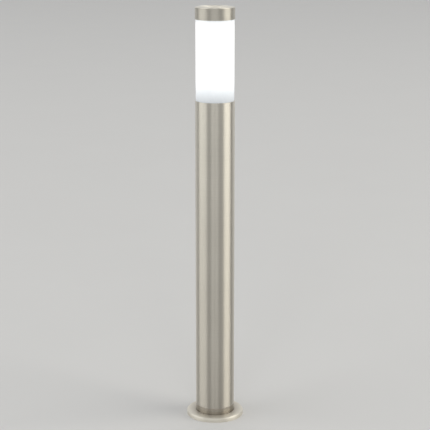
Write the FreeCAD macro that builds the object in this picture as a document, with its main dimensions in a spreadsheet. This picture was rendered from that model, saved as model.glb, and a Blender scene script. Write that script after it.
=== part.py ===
"""Bollard light: a slim stainless post with an opal head, for paths and gardens.

The frame is in millimetres with +Z up. The origin is on the ground, on the post's axis, and the front is -Y.
The post is welded to a foot plate, which a loose rosette hides. A carrier near the top of the post holds
the lampholder, the lamp and the supply gear. The head, which is the opal tube and its steel cap, plugs
into the post over the carrier's neck and locks there with a bayonet.
"""

import FreeCAD, Part
import math
import os
import re

import Sketcher
from FreeCAD import Placement, Rotation, Vector

# Every driving size: its name, its value and what it is. Lengths are in millimetres and angles in degrees.
SIZES = {
    # post and ground fixing
    "post_height": (626, "ground to the post's top edge"),
    "post_dia": (75, "outside diameter of the post and of the cap"),
    "post_wall": (1, "wall of the post's tube"),
    "plate_thickness": (3, "foot plate"),
    "plate_gap": (2, "foot plate's edge to the rosette's wall"),
    "anchor_offset": (7.5, "post's face to the centre of an anchor hole"),
    "anchor_hole": (6, "diameter of an anchor hole"),
    "weld_leg": (3, "leg of the weld inside the foot of the post"),
    "inlet_hole": (18, "hole in the foot plate for the grommet"),
    "inlet_bore": (9, "bore of the grommet, for the supply cable"),
    "grommet_lip": (3, "grommet's lip beyond its hole"),
    "grommet_lip_height": (2, "thickness of the grommet's lip"),
    "ground_relief": (0.3, "grommet's underside above the ground"),
    # rosette
    "rosette_height": (9, "rosette, from the ground"),
    "rosette_flange": (17.5, "post's face to the rosette's outer edge"),
    "rosette_wall": (1, "sheet of the rosette"),
    "rosette_gap": (0.3, "running gap between the rosette and the post"),
    "rosette_round": (3, "outside radius of the rosette's top edge"),
    # support ring, gasket and carrier
    "insert_depth": (34, "post's top edge to the carrier's top face"),
    "carrier_plate": (4, "thickness of the carrier's plate"),
    "carrier_gap": (0.3, "carrier's edge to the post's bore"),
    "gasket_thickness": (1, "gasket under the carrier"),
    "ring_height": (10, "support ring welded inside the post"),
    "ring_wall": (2, "wall of the support ring"),
    "tab_thickness": (2.5, "tabs of the support ring"),
    "tab_width": (11, "width of a tab"),
    "tab_reach": (4.5, "tab beyond its screw, towards the axis"),
    "neck_height": (20, "neck above the carrier's top face"),
    "neck_wall": (1.6, "wall of the neck"),
    "neck_gap": (0.3, "running gap between the neck and the head's collar"),
    "lug_level": (12, "carrier's top face to the underside of a lug"),
    "lug_height": (3, "height of a bayonet lug"),
    "lug_angle": (15, "arc of a bayonet lug"),
    "lug_play": (2, "play each side of a lug in its slot, as an angle"),
    "slot_play": (0.4, "play above and below a lug in its slot"),
    "lock_angle": (25, "turn that locks the head"),
    "bayonet_count": (3, "lugs, and also tabs and carrier screws"),
    # head
    "window_height": (152, "opal tube that shows between post and cap"),
    "diffuser_wall": (2.5, "wall of the opal tube"),
    "diffuser_gap": (0.25, "opal tube to the post's bore"),
    "bond_gap": (0.1, "glue line inside the opal tube"),
    "collar_wall": (2.6, "wall of the head's collar"),
    "collar_flange": (6, "flange of the collar, under the opal tube"),
    "collar_height": (26, "whole height of the collar"),
    "collar_gap": (0.4, "collar's flange to the post's bore"),
    "slot_depth": (1.5, "depth of the bayonet slots in the collar"),
    "seal_cord": (2.4, "section of the head's sealing ring"),
    "seal_gap": (0.05, "sealing ring to its groove and to the bore"),
    "groove_play": (0.2, "groove beyond the sealing ring, above and below"),
    "cap_height": (22, "steel cap, over the opal tube"),
    "cap_wall": (1, "sheet of the cap"),
    "cap_round": (0.8, "outside radius of the cap's top edge"),
    "liner_flange": (2.5, "flange of the liner under the cap"),
    "liner_spigot": (12, "liner's spigot inside the opal tube"),
    "liner_wall": (2, "wall of the liner's spigot"),
    "cap_seal_thickness": (1.5, "seal between the opal tube and the liner"),
    "stud_dia": (5, "stud welded under the cap"),
    "stud_length": (9, "length of that stud"),
    "washer_dia": (15, "washer on the stud"),
    "washer_thickness": (1, "thickness of that washer"),
    "cap_nut_flats": (8, "nut on the stud, across flats"),
    "cap_nut_height": (4, "height of that nut"),
    # lampholder
    "holder_dia": (34, "lampholder's porcelain body"),
    "holder_height": (40, "lampholder above the carrier"),
    "holder_floor": (12, "solid bottom of the porcelain body"),
    "holder_ledge": (3, "ledge above that floor, which carries the shell"),
    "ledge_width": (1.7, "width of that ledge"),
    "holder_shell_bore": (26.9, "bore of the holder's screw shell"),
    "holder_shell_sheet": (0.4, "sheet of the screw shell"),
    "holder_shell_rim": (3, "shell's top edge below the porcelain rim"),
    "holder_shell_gap": (0.25, "screw shell to the porcelain"),
    "holder_screw_pitch": (17, "between the lampholder's two fixing screws"),
    "wire_pitch": (10, "between the lampholder's two terminals"),
    "wire_setback": (8.5, "terminals in front of the axis"),
    "terminal_side": (5, "side of a terminal in the lampholder"),
    "terminal_height": (8, "height of such a terminal"),
    "terminal_room": (0.2, "play around such a terminal, and around the wire in it"),
    "terminal_screw": (2.5, "screw in the top of such a terminal"),
    "terminal_screw_head": (4.2, "head of that screw"),
    "terminal_screw_head_height": (1.2, "height of that head"),
    "terminal_screw_length": (4, "shank of that screw"),
    "contact_sheet": (0.4, "sheet of the contact strips"),
    "contact_width": (5, "width of the contact strips"),
    "contact_angle": (22, "arc of the side contact, which follows the shell"),
    "contact_rise": (0.6, "centre contact's tip above its foot"),
    # small fasteners and wires
    "screw_dia": (3, "M3 screws"),
    "screw_hole": (3.4, "clearance hole for such a screw"),
    "screw_head": (5.5, "head of such a screw"),
    "screw_head_height": (2.2, "height of that head"),
    "head_recess": (6.2, "counterbore for such a head"),
    "recess_span": (2.8, "cross recess, from tip to tip"),
    "recess_width": (0.7, "width of the cross recess"),
    "recess_depth": (1.2, "depth of the cross recess"),
    "nut_flats": (5.5, "M3 nut, across flats"),
    "nut_height": (2.4, "height of an M3 nut"),
    "carrier_screw_length": (10, "shank of a carrier screw"),
    "thread_overrun": (2, "screw thread that shows beyond a nut"),
    "wire_dia": (2.2, "insulated wire"),
    "wire_hole": (4, "hole for a wire in the carrier"),
    # supply gear under the carrier
    "bracket_sheet": (1.5, "sheet of the bracket"),
    "bracket_width": (30, "width of the bracket"),
    "bracket_foot": (5, "bracket's foot in front of the axis"),
    "bracket_setback": (8, "axis to the front face of the bracket's leg"),
    "bracket_drop": (60, "carrier's top face to the leg's lower end"),
    "bracket_bend": (1, "inside radius of the bracket's bend"),
    "block_drop": (36, "carrier's top face to the terminal block's top"),
    "block_height": (19, "terminal block"),
    "block_depth": (14, "terminal block, from the bracket forwards"),
    "block_width": (30, "terminal block"),
    "pole_pitch": (10, "between the poles of the block"),
    "pole_count": (3, "poles of the block: live, neutral and earth"),
    "clamp_dia": (5, "brass clamp in each pole"),
    "clamp_bore": (3, "bore of the brass clamp"),
    "clamp_inset": (1, "clamp's end inside the block's face"),
    "clamp_screw_pitch": (9, "between the two screws of a clamp"),
    "clamp_screw_well": (3.8, "well over such a screw"),
    "clamp_screw_dia": (2.6, "shank of such a screw"),
    "clamp_screw_head": (3.4, "head of such a screw"),
    "clamp_screw_head_height": (1.5, "height of that head"),
    "clamp_screw_shank": (2.2, "shank outside the clamp"),
    "slot_width": (0.7, "screwdriver slot of such a screw"),
    "wire_grip": (6, "wire inside its clamp"),
    "lug_drop": (11, "carrier's top face to the earth lug's hole"),
    "lug_ring": (8, "ring of the earth lug"),
    "lug_sheet": (0.8, "sheet of the earth lug"),
    "lug_barrel": (4, "barrel of the earth lug"),
    "lug_barrel_bore": (2.4, "bore of that barrel"),
    "lug_barrel_length": (5, "length of that barrel"),
    "earth_screw_dia": (4, "earth screw, M4"),
    "earth_hole": (4.3, "clearance hole for the earth screw"),
    "earth_head": (7, "head of the earth screw"),
    "earth_head_height": (2.6, "height of that head"),
    "earth_washer_thickness": (0.6, "toothed washer under that head"),
    "earth_nut_flats": (7, "M4 nut, across flats"),
    "earth_nut_height": (3.2, "height of that nut"),
    # lamp, measured from its tip
    "lamp_gap": (0.2, "lamp's tip above the centre contact"),
    "lamp_length": (115, "whole length of the lamp"),
    "lamp_dia": (37, "envelope of the lamp"),
    "lamp_shell_dia": (26.3, "outside of the lamp's screw shell"),
    "lamp_shell_sheet": (0.35, "sheet of that shell"),
    "lamp_shell_lip": (1.4, "inward lip at that shell's bottom"),
    "lamp_shell_base": (6.8, "tip to the shell's lower edge"),
    "lamp_shell_top": (26.8, "tip to the shell's upper edge"),
    "lamp_button_dia": (9.2, "contact button"),
    "lamp_button_height": (1.5, "thickness of the contact button"),
    "lamp_rivet_dia": (2.8, "rivet above the contact button"),
    "lamp_rivet_length": (4, "length of that rivet"),
    "lamp_rivet_gap": (0.3, "rivet to the insulator"),
    "lamp_base_flare": (27.3, "tip to the start of the plastic base's flare"),
    "lamp_base_top": (41, "tip to the top of the plastic base"),
    "lamp_base_wall": (1.5, "wall of the plastic base"),
    "lamp_envelope_wall": (1.2, "wall of the envelope"),
    "lamp_dome": (12, "outside radius of the envelope's end"),
    "led_board_width": (24, "board that carries the LEDs"),
    "led_board_height": (62, "height of that board"),
    "led_board_thickness": (1.6, "thickness of that board"),
    "led_width": (2.8, "one LED"),
    "led_height": (3.5, "height of one LED"),
    "led_depth": (0.8, "thickness of one LED"),
    "led_pitch": (9, "between LEDs, upwards"),
    "led_column_pitch": (12, "between the two columns of LEDs"),
    "led_rows": (6, "LEDs in one column"),
    "driver_width": (16, "driver board in the lamp's base"),
    "driver_height": (22, "height of that board"),
    "driver_thickness": (1.2, "thickness of that board"),
    "driver_level": (17.7, "tip to the lower edge of the driver board"),
    "smoothing_cap_dia": (8, "smoothing capacitor"),
    "smoothing_cap_height": (12, "height of that capacitor"),
    "choke_side": (7, "side of the driver's choke"),
    "choke_height": (8, "height of that choke"),
    "lamp_shelf": (2, "shelf in the lamp's base that holds the driver board"),
    "lamp_plug_gap": (0.1, "plastic base inside the screw shell"),
}

# Radii, from the post's bore inwards, each tied to the one outside it by a wall or a gap.
POST_R = "(post_dia / 2)"
BORE_R = f"({POST_R} - post_wall)"
DIFFUSER_R = f"({POST_R} - max(post_wall; cap_wall) - diffuser_gap)"
DIFFUSER_BORE_R = f"({DIFFUSER_R} - diffuser_wall)"
COLLAR_R = f"({DIFFUSER_BORE_R} - bond_gap)"
COLLAR_BORE_R = f"({COLLAR_R} - collar_wall)"
SLOT_R = f"({COLLAR_BORE_R} + slot_depth)"
NECK_R = f"({COLLAR_BORE_R} - neck_gap)"
NECK_BORE_R = f"({NECK_R} - neck_wall)"
LUG_R = f"({SLOT_R} - neck_gap)"
COLLAR_FLANGE_R = f"({BORE_R} - collar_gap)"
GROOVE_R = f"({BORE_R} - seal_cord - 2 * seal_gap)"
ROSETTE_R = f"({POST_R} + rosette_flange)"
PLATE_R = f"({ROSETTE_R} - rosette_wall - plate_gap)"
ANCHOR_R = f"({POST_R} + anchor_offset)"
CARRIER_SCREW_R = f"(({NECK_BORE_R} + holder_dia / 2) / 2)"
HOLDER_SHELL_R = "(holder_shell_bore / 2)"
HOLDER_SHELL_OUT_R = f"({HOLDER_SHELL_R} + holder_shell_sheet)"
HOLDER_BORE_R = f"({HOLDER_SHELL_OUT_R} + holder_shell_gap)"
LEDGE_R = f"({HOLDER_BORE_R} - ledge_width)"
TERMINAL_R = "sqrt(wire_pitch * wire_pitch / 4 + wire_setback * wire_setback)"
LAMP_SHELL_R = "(lamp_shell_dia / 2)"
LAMP_SHELL_BORE_R = f"({LAMP_SHELL_R} - lamp_shell_sheet)"
LAMP_PLUG_R = f"({LAMP_SHELL_BORE_R} - lamp_plug_gap)"

# Levels above the ground.
TOP = "(post_height + window_height + cap_height)"
CAP_INSIDE = f"({TOP} - cap_wall)"
LINER_BOTTOM = f"({CAP_INSIDE} - liner_flange)"
DIFFUSER_TOP = f"({LINER_BOTTOM} - cap_seal_thickness)"
CAP_WASHER_BOTTOM = f"({LINER_BOTTOM} - washer_thickness)"
CARRIER_TOP = "(post_height - insert_depth)"
CARRIER_BOTTOM = f"({CARRIER_TOP} - carrier_plate)"
RING_TOP = f"({CARRIER_BOTTOM} - gasket_thickness)"
BRACKET_FOOT_BOTTOM = f"({CARRIER_BOTTOM} - bracket_sheet)"
DIFFUSER_BOTTOM = f"({CARRIER_TOP} + collar_flange)"
FLOOR = f"({CARRIER_TOP} + holder_floor)"
LEDGE = f"({FLOOR} + holder_ledge)"
TERMINAL_BOTTOM = f"({FLOOR} - terminal_height)"
STRIP_TOP = f"({FLOOR} + contact_sheet)"
WIRE_END = f"({TERMINAL_BOTTOM} + terminal_height / 2 - terminal_room)"
HOLDER_TOP = f"({CARRIER_TOP} + holder_height)"
BLOCK_TOP = f"({CARRIER_TOP} - block_drop)"
BLOCK_MIDDLE = f"({BLOCK_TOP} - block_height / 2)"
LUG_LEVEL = f"({CARRIER_TOP} - lug_drop)"
LUG_BARREL_BOTTOM = f"({LUG_LEVEL} - lug_ring / 2 - lug_barrel_length)"
LAMP_TIP = f"({FLOOR} + contact_sheet + contact_rise + lamp_gap)"
LAMP_BASE_TOP = f"({LAMP_TIP} + lamp_base_top)"
LAMP_SHELL_BASE = f"({LAMP_TIP} + lamp_shell_base)"
LAMP_SHELL_TOP = f"({LAMP_TIP} + lamp_shell_top)"

# Places across the post: the front face of the bracket's leg, and the line of the clamps in the block.
LEG_FRONT = "bracket_setback"
LEG_BACK = "(bracket_setback + bracket_sheet)"
BLOCK_FRONT = "(bracket_setback - block_depth)"
CLAMP_Y = "(bracket_setback - block_depth / 2)"
LUG_BARREL_Y = "(bracket_setback - (lug_sheet + lug_barrel) / 2)"

SQRT3 = "sqrt(3)"
ON_AXIS = "0"
TOUCH = 1e-6
SAME_PLACE = 1e-3
ARC_SHARE = 0.45
SKETCH_ORIGIN, HORIZONTAL_AXIS, VERTICAL_AXIS = -1, -1, -2
START, END, CENTRE = 1, 2, 3

doc = FreeCAD.newDocument("BollardLight")
sheet = doc.addObject("Spreadsheet::Sheet", "Sizes")
sub_parts = []


# ---------------------------------------------------------------- sizes


def write_sheet():
    """Puts every driving size in the spreadsheet, under its alias."""
    for row, (alias, (value, meaning)) in enumerate(SIZES.items(), start=1):
        sheet.set(f"A{row}", meaning)
        sheet.set(f"B{row}", str(value))
        sheet.setAlias(f"B{row}", alias)
    doc.recompute()


def bound(text):
    """The text as a FreeCAD expression: each size's name becomes a reference to its cell."""
    return re.sub(r"[a-z]\w*", lambda word: f"Sizes.{word[0]}" if word[0] in SIZES else word[0], str(text))


def amount(text):
    """The number that such a text stands for."""
    return float(sheet.evalExpression(bound(text)))


# ---------------------------------------------------------------- sketches and features


def new_body(name):
    """An empty body, which becomes the sub-part of that name."""
    body = doc.addObject("PartDesign::Body", name)
    body.Label = name
    sub_parts.append(body)
    return body


def origin_item(body, role):
    """One of the planes or axes of the body's own origin."""
    return next(item for item in body.Origin.OriginFeatures if item.Role == role)


def new_sketch(body, plane, lift=ON_AXIS, shift=ON_AXIS):
    """A sketch on an origin plane, moved along the plane's normal by lift and along its own x by shift."""
    sketch = body.newObject("Sketcher::SketchObject", f"{body.Name}_sketch")
    sketch.AttachmentSupport = (origin_item(body, f"{plane}_Plane"), [""])
    sketch.MapMode = "FlatFace"
    sketch.setExpression("AttachmentOffset.Base.z", bound(lift))
    sketch.setExpression("AttachmentOffset.Base.x", bound(shift))
    return sketch


def pin_down(sketch, geometry, point, x, y):
    """Dimensions one point of a sketch from its origin, with both distances bound to the sheet."""
    for kind, text, axis in (("DistanceX", x, VERTICAL_AXIS), ("DistanceY", y, HORIZONTAL_AXIS)):
        value = amount(text)
        if abs(value) < TOUCH:
            sketch.addConstraint(Sketcher.Constraint("PointOnObject", geometry, point, axis))
            continue
        ends = (SKETCH_ORIGIN, START, geometry, point)
        if value < 0:
            ends, text = (geometry, point, SKETCH_ORIGIN, START), f"-({text})"
        index = sketch.addConstraint(Sketcher.Constraint(kind, *ends, abs(value)))
        sketch.setExpression(f"Constraints[{index}]", bound(text))


def add_outline(sketch, corners):
    """A closed outline of straight lines through the corners, each a pair of texts."""
    first = sketch.GeometryCount
    count = len(corners)
    places = [Vector(amount(x), amount(y), 0) for x, y in corners]
    for index, place in enumerate(places):
        sketch.addGeometry(Part.LineSegment(place, places[(index + 1) % count]), False)
    for index in range(count):
        following = first + (index + 1) % count
        sketch.addConstraint(Sketcher.Constraint("Coincident", first + index, END, following, START))
    for index, (x, y) in enumerate(corners):
        pin_down(sketch, first + index, START, x, y)


def add_circle(sketch, radius, x=ON_AXIS, y=ON_AXIS):
    """A circle with its radius and its centre bound to the sheet."""
    centre = Vector(amount(x), amount(y), 0)
    circle = sketch.addGeometry(Part.Circle(centre, Vector(0, 0, 1), amount(radius)), False)
    index = sketch.addConstraint(Sketcher.Constraint("Radius", circle, amount(radius)))
    sketch.setExpression(f"Constraints[{index}]", bound(radius))
    pin_down(sketch, circle, CENTRE, x, y)


def box_corners(x0, x1, y0, y1):
    """The four corners of a rectangle."""
    return [(x0, y0), (x1, y0), (x1, y1), (x0, y1)]


def hexagon_corners(flats, x, y):
    """The corners of a hexagon about a point, from its size across flats."""
    tip, half = f"({flats}) / {SQRT3}", f"({flats}) / 2"
    side = f"({tip}) / 2"
    around = [(tip, "0"), (side, half), (f"-({side})", half)]
    around += [(f"-({dx})", f"-({dy})") for dx, dy in around]
    return [(f"{x} + ({dx})", f"{y} + ({dy})") for dx, dy in around]


def cross_corners(x, y):
    """The corners of a cross recess about a point."""
    far, near = "(recess_span / 2)", "(recess_width / 2)"
    steps = [(far, near), (near, near), (near, far)]
    around = steps + [(f"-{dx}", dy) for dx, dy in reversed(steps)]
    around += [(f"-{dx}", f"-{dy}") for dx, dy in steps]
    around += [(dx, f"-{dy}") for dx, dy in reversed(steps)]
    return [(f"{x} + {dx}", f"{y} + {dy}") for dx, dy in around]


def pad(body, sketch, length, symmetric=False):
    """A pad of that length."""
    feature = body.newObject("PartDesign::Pad", f"{body.Name}_pad")
    feature.Profile = sketch
    feature.Midplane = symmetric
    feature.setExpression("Length", bound(length))
    doc.recompute()
    return feature


def pocket(body, sketch, depth=None):
    """A pocket against the sketch's normal, right through if no depth is given. It must remove something."""
    before = body.Shape.Volume
    feature = body.newObject("PartDesign::Pocket", f"{body.Name}_pocket")
    feature.Profile = sketch
    if depth is None:
        feature.Type = "ThroughAll"
    else:
        feature.setExpression("Length", bound(depth))
    doc.recompute()
    if body.Shape.Volume > before - TOUCH:
        raise ValueError(f"{feature.Name} removes nothing from {body.Label}")
    return feature


def turn(body, corners, shift=ON_AXIS, angle=None, start=None, cut=False):
    """A revolution, or a groove, of an outline of radii and levels about a vertical axis.

    With no angle it is a full turn. Otherwise it runs anticlockwise through angle from start.
    """
    before = body.Shape.Volume if cut else 0
    sketch = new_sketch(body, "XZ", shift=shift)
    add_outline(sketch, corners)
    if start is not None:
        sketch.AttachmentOffset = Placement(Vector(), Rotation(Vector(0, 1, 0), 1))
        sketch.setExpression("AttachmentOffset.Rotation.Angle", bound(start))
    kind = "Groove" if cut else "Revolution"
    feature = body.newObject(f"PartDesign::{kind}", f"{body.Name}_{kind.lower()}")
    feature.Profile = sketch
    feature.ReferenceAxis = (sketch, ["V_Axis"])
    feature.Angle = 360
    if angle is not None:
        feature.setExpression("Angle", bound(angle))
    doc.recompute()
    if cut and body.Shape.Volume > before - TOUCH:
        raise ValueError(f"{feature.Name} removes nothing from {body.Label}")
    return feature


def repeat_round(body, features, count="bayonet_count"):
    """The features, repeated evenly about the post's axis."""
    pattern = body.newObject("PartDesign::PolarPattern", f"{body.Name}_round")
    pattern.Originals = features
    pattern.Axis = (origin_item(body, "Z_Axis"), [""])
    pattern.Angle = 360
    pattern.setExpression("Occurrences", bound(count))
    body.Tip = pattern
    doc.recompute()
    return pattern


def repeat_line(body, features, axis, length, count):
    """The features, repeated along an axis of the body's origin over that length."""
    pattern = body.newObject("PartDesign::LinearPattern", f"{body.Name}_line")
    pattern.Originals = features
    pattern.Direction = (origin_item(body, f"{axis}_Axis"), [""])
    pattern.setExpression("Length", bound(length))
    pattern.setExpression("Occurrences", bound(count))
    body.Tip = pattern
    doc.recompute()
    return pattern


def mirror(body, features, plane="YZ"):
    """The features and their mirror image in a plane of the body's origin."""
    image = body.newObject("PartDesign::Mirrored", f"{body.Name}_mirrored")
    image.Originals = features
    image.MirrorPlane = (origin_item(body, f"{plane}_Plane"), [""])
    body.Tip = image
    doc.recompute()
    return image


def is_one_of(place, wanted):
    """Whether a pair of numbers is at one of the places, each a pair of texts."""
    return any(math.dist(place, (amount(first), amount(second))) < SAME_PLACE for first, second in wanted)


def round_rims(body, rims, radius):
    """A fillet on the rims about the post's axis, each given as its radius and its level."""
    names = []
    for index, edge in enumerate(body.Tip.Shape.Edges, start=1):
        curve = edge.Curve
        if isinstance(curve, Part.Circle) and is_one_of((curve.Radius, curve.Center.z), rims):
            names.append(f"Edge{index}")
    return fillet(body, names, radius, len(rims))


def round_long_edges(body, lines, radius):
    """A fillet on the edges along X, each given as its place in Y and Z."""
    names = []
    for index, edge in enumerate(body.Tip.Shape.Edges, start=1):
        start, end = edge.firstVertex().Point, edge.lastVertex().Point
        along_x = abs(start.y - end.y) < TOUCH and abs(start.z - end.z) < TOUCH
        if along_x and is_one_of((start.y, start.z), lines):
            names.append(f"Edge{index}")
    return fillet(body, names, radius, len(lines))


def fillet(body, names, radius, expected):
    """A fillet on the named edges of the body's tip."""
    if len(names) != expected:
        raise ValueError(f"{body.Label} has {len(names)} edges to round where {expected} were meant")
    sharp = body.Tip
    feature = body.newObject("PartDesign::Fillet", f"{body.Name}_fillet")
    feature.Base = (sharp, names)
    feature.setExpression("Radius", bound(radius))
    doc.recompute()
    return feature


def turned(name, corners, shift=ON_AXIS):
    """A body that is one full turn of an outline."""
    body = new_body(name)
    turn(body, corners, shift)
    return body


def ring(name, inner, outer, bottom, top):
    """A flat or tall ring about the post's axis."""
    return turned(name, box_corners(inner, outer, bottom, top))


def pan_screw_corners(head_bottom, shank_bottom):
    """Half the outline of an M3 pan-head screw, from its axis outwards."""
    head_top = f"({head_bottom} + screw_head_height)"
    crown = f"({head_top} - screw_head_height / 3)"
    return [
        ("0", shank_bottom),
        ("screw_dia / 2", shank_bottom),
        ("screw_dia / 2", head_bottom),
        ("screw_head / 2", head_bottom),
        ("screw_head / 2", crown),
        ("screw_head / 2 - screw_head_height / 3", head_top),
        ("0", head_top),
    ]


# ---------------------------------------------------------------- post and ground fixing


def make_foot_plate():
    """Round plate with the anchor holes and the cable's hole."""
    body = new_body("foot_plate")
    sketch = new_sketch(body, "XY")
    add_circle(sketch, PLATE_R)
    add_circle(sketch, "inlet_hole / 2")
    pad(body, sketch, "plate_thickness")
    hole = new_sketch(body, "XY", lift="plate_thickness")
    add_circle(hole, "anchor_hole / 2", f"-{ANCHOR_R}")
    repeat_round(body, [pocket(body, hole)])


def make_post():
    """The tube, the weld inside its foot, and the grommet where the cable comes in."""
    ring("post_tube", BORE_R, POST_R, "plate_thickness", "post_height")
    weld_top, weld_in = "(plate_thickness + weld_leg)", f"({BORE_R} - weld_leg)"
    turned("foot_weld", [(weld_in, "plate_thickness"), (BORE_R, "plate_thickness"), (BORE_R, weld_top)])
    lip_r, lip_top = "(inlet_hole / 2 + grommet_lip)", "(plate_thickness + grommet_lip_height)"
    turned(
        "cable_grommet",
        [
            ("inlet_bore / 2", "ground_relief"),
            ("inlet_hole / 2", "ground_relief"),
            ("inlet_hole / 2", "plate_thickness"),
            (lip_r, "plate_thickness"),
            (lip_r, f"{lip_top} - grommet_lip_height / 2"),
            (f"{lip_r} - grommet_lip_height / 2", lip_top),
            ("inlet_bore / 2", lip_top),
        ],
    )


def make_rosette():
    """Spun steel pan, loose on the post, that hides the foot plate."""
    bore, wall_in = f"({POST_R} + rosette_gap)", f"({ROSETTE_R} - rosette_wall)"
    under = "(rosette_height - rosette_wall)"
    body = turned(
        "rosette",
        [
            (bore, under),
            (wall_in, under),
            (wall_in, "0"),
            (ROSETTE_R, "0"),
            (ROSETTE_R, "rosette_height"),
            (bore, "rosette_height"),
        ],
    )
    round_rims(body, [(wall_in, under)], "rosette_round - rosette_wall")
    round_rims(body, [(ROSETTE_R, "rosette_height")], "rosette_round")


# ---------------------------------------------------------------- carrier


def tabbed_ring(name, inner, bottom, height, tab_height):
    """A ring inside the post with an inward tab at each carrier screw, drilled for it."""
    body = new_body(name)
    sketch = new_sketch(body, "XY", lift=bottom)
    add_circle(sketch, BORE_R if name == "support_ring" else f"{BORE_R} - carrier_gap")
    add_circle(sketch, inner)
    pad(body, sketch, height)
    half = "(tab_width / 2)"
    tab = new_sketch(body, "XY", lift=f"{bottom} + {height} - {tab_height}")
    tab_end = f"-({CARRIER_SCREW_R} - tab_reach)"
    add_outline(tab, box_corners(f"-({inner} + ring_wall / 2)", tab_end, f"-{half}", half))
    repeat_round(body, [pad(body, tab, tab_height)])
    hole = new_sketch(body, "XY", lift=f"{bottom} + {height}")
    add_circle(hole, "screw_dia / 2" if name == "support_ring" else "screw_hole / 2", f"-{CARRIER_SCREW_R}")
    repeat_round(body, [pocket(body, hole)])
    return body


def make_support():
    """The steel ring welded inside the post, and the gasket on it."""
    inner = f"({BORE_R} - ring_wall)"
    tabbed_ring("support_ring", inner, f"({RING_TOP} - ring_height)", "ring_height", "tab_thickness")
    tabbed_ring("carrier_gasket", inner, RING_TOP, "gasket_thickness", "gasket_thickness")


def make_carrier():
    """Moulded plate with the bayonet's neck, drilled for its screws, the lampholder and the wires."""
    edge, neck_top = f"({BORE_R} - carrier_gap)", f"({CARRIER_TOP} + neck_height)"
    body = turned(
        "lamp_carrier",
        [
            ("0", CARRIER_BOTTOM),
            (edge, CARRIER_BOTTOM),
            (edge, CARRIER_TOP),
            (NECK_R, CARRIER_TOP),
            (NECK_R, neck_top),
            (NECK_BORE_R, neck_top),
            (NECK_BORE_R, CARRIER_TOP),
            ("0", CARRIER_TOP),
        ],
    )
    lug_bottom = f"({CARRIER_TOP} + lug_level)"
    lug_root = f"({NECK_R} - neck_wall / 2)"
    lug = turn(
        body,
        box_corners(lug_root, LUG_R, lug_bottom, f"{lug_bottom} + lug_height"),
        angle="lug_angle",
        start="-lug_angle / 2",
    )
    repeat_round(body, [lug])
    holes = new_sketch(body, "XY", lift=CARRIER_TOP)
    add_circle(holes, "screw_hole / 2", f"-{CARRIER_SCREW_R}")
    repeat_round(body, [pocket(body, holes)])
    passages = new_sketch(body, "XY", lift=CARRIER_TOP)
    add_circle(passages, "screw_hole / 2", "holder_screw_pitch / 2")
    add_circle(passages, "wire_hole / 2", "wire_pitch / 2", "-wire_setback")
    mirror(body, [pocket(body, passages)])


def make_carrier_screws():
    """The M3 screws that hold the carrier to the support ring."""
    body = new_body("carrier_screws")
    shank_bottom = f"({CARRIER_TOP} - carrier_screw_length)"
    screw = turn(body, pan_screw_corners(CARRIER_TOP, shank_bottom), shift=f"-{CARRIER_SCREW_R}")
    recess = new_sketch(body, "XY", lift=f"{CARRIER_TOP} + screw_head_height")
    add_outline(recess, cross_corners(f"-{CARRIER_SCREW_R}", "0"))
    repeat_round(body, [screw, pocket(body, recess, "recess_depth")])


# ---------------------------------------------------------------- lampholder


def make_holder_body():
    """Porcelain body: a bore for the screw shell, wells for the terminals, holes for screws and wires."""
    body = turned(
        "holder_body",
        [
            ("0", CARRIER_TOP),
            ("holder_dia / 2", CARRIER_TOP),
            ("holder_dia / 2", HOLDER_TOP),
            (HOLDER_BORE_R, HOLDER_TOP),
            (HOLDER_BORE_R, LEDGE),
            (LEDGE_R, LEDGE),
            (LEDGE_R, FLOOR),
            ("0", FLOOR),
        ],
    )
    round_rims(body, [("holder_dia / 2", HOLDER_TOP)], "holder_ledge / 3")
    half = "(terminal_side / 2 + terminal_room)"
    x, y = "(wire_pitch / 2)", "(-wire_setback)"
    wells = new_sketch(body, "XY", lift=FLOOR)
    add_outline(wells, box_corners(f"{x} - {half}", f"{x} + {half}", f"{y} - {half}", f"{y} + {half}"))
    well = pocket(body, wells, "terminal_height")
    drill = new_sketch(body, "XY", lift=FLOOR)
    add_circle(drill, "screw_hole / 2", "holder_screw_pitch / 2")
    add_circle(drill, "wire_hole / 2 - terminal_room", x, y)
    holes = pocket(body, drill)
    seats = new_sketch(body, "XY", lift=FLOOR)
    add_circle(seats, "head_recess / 2", "holder_screw_pitch / 2")
    seat = pocket(body, seats, "screw_head_height + terminal_room")
    mirror(body, [well, holes, seat])


def make_holder_shell():
    """Screw shell of the lampholder, with the lip that stands on the porcelain's ledge."""
    shell_top, lip_top = f"({HOLDER_TOP} - holder_shell_rim)", f"({LEDGE} + holder_shell_sheet)"
    turned(
        "holder_shell",
        [
            (LEDGE_R, LEDGE),
            (HOLDER_SHELL_OUT_R, LEDGE),
            (HOLDER_SHELL_OUT_R, shell_top),
            (HOLDER_SHELL_R, shell_top),
            (HOLDER_SHELL_R, lip_top),
            (LEDGE_R, lip_top),
        ],
    )


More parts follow.
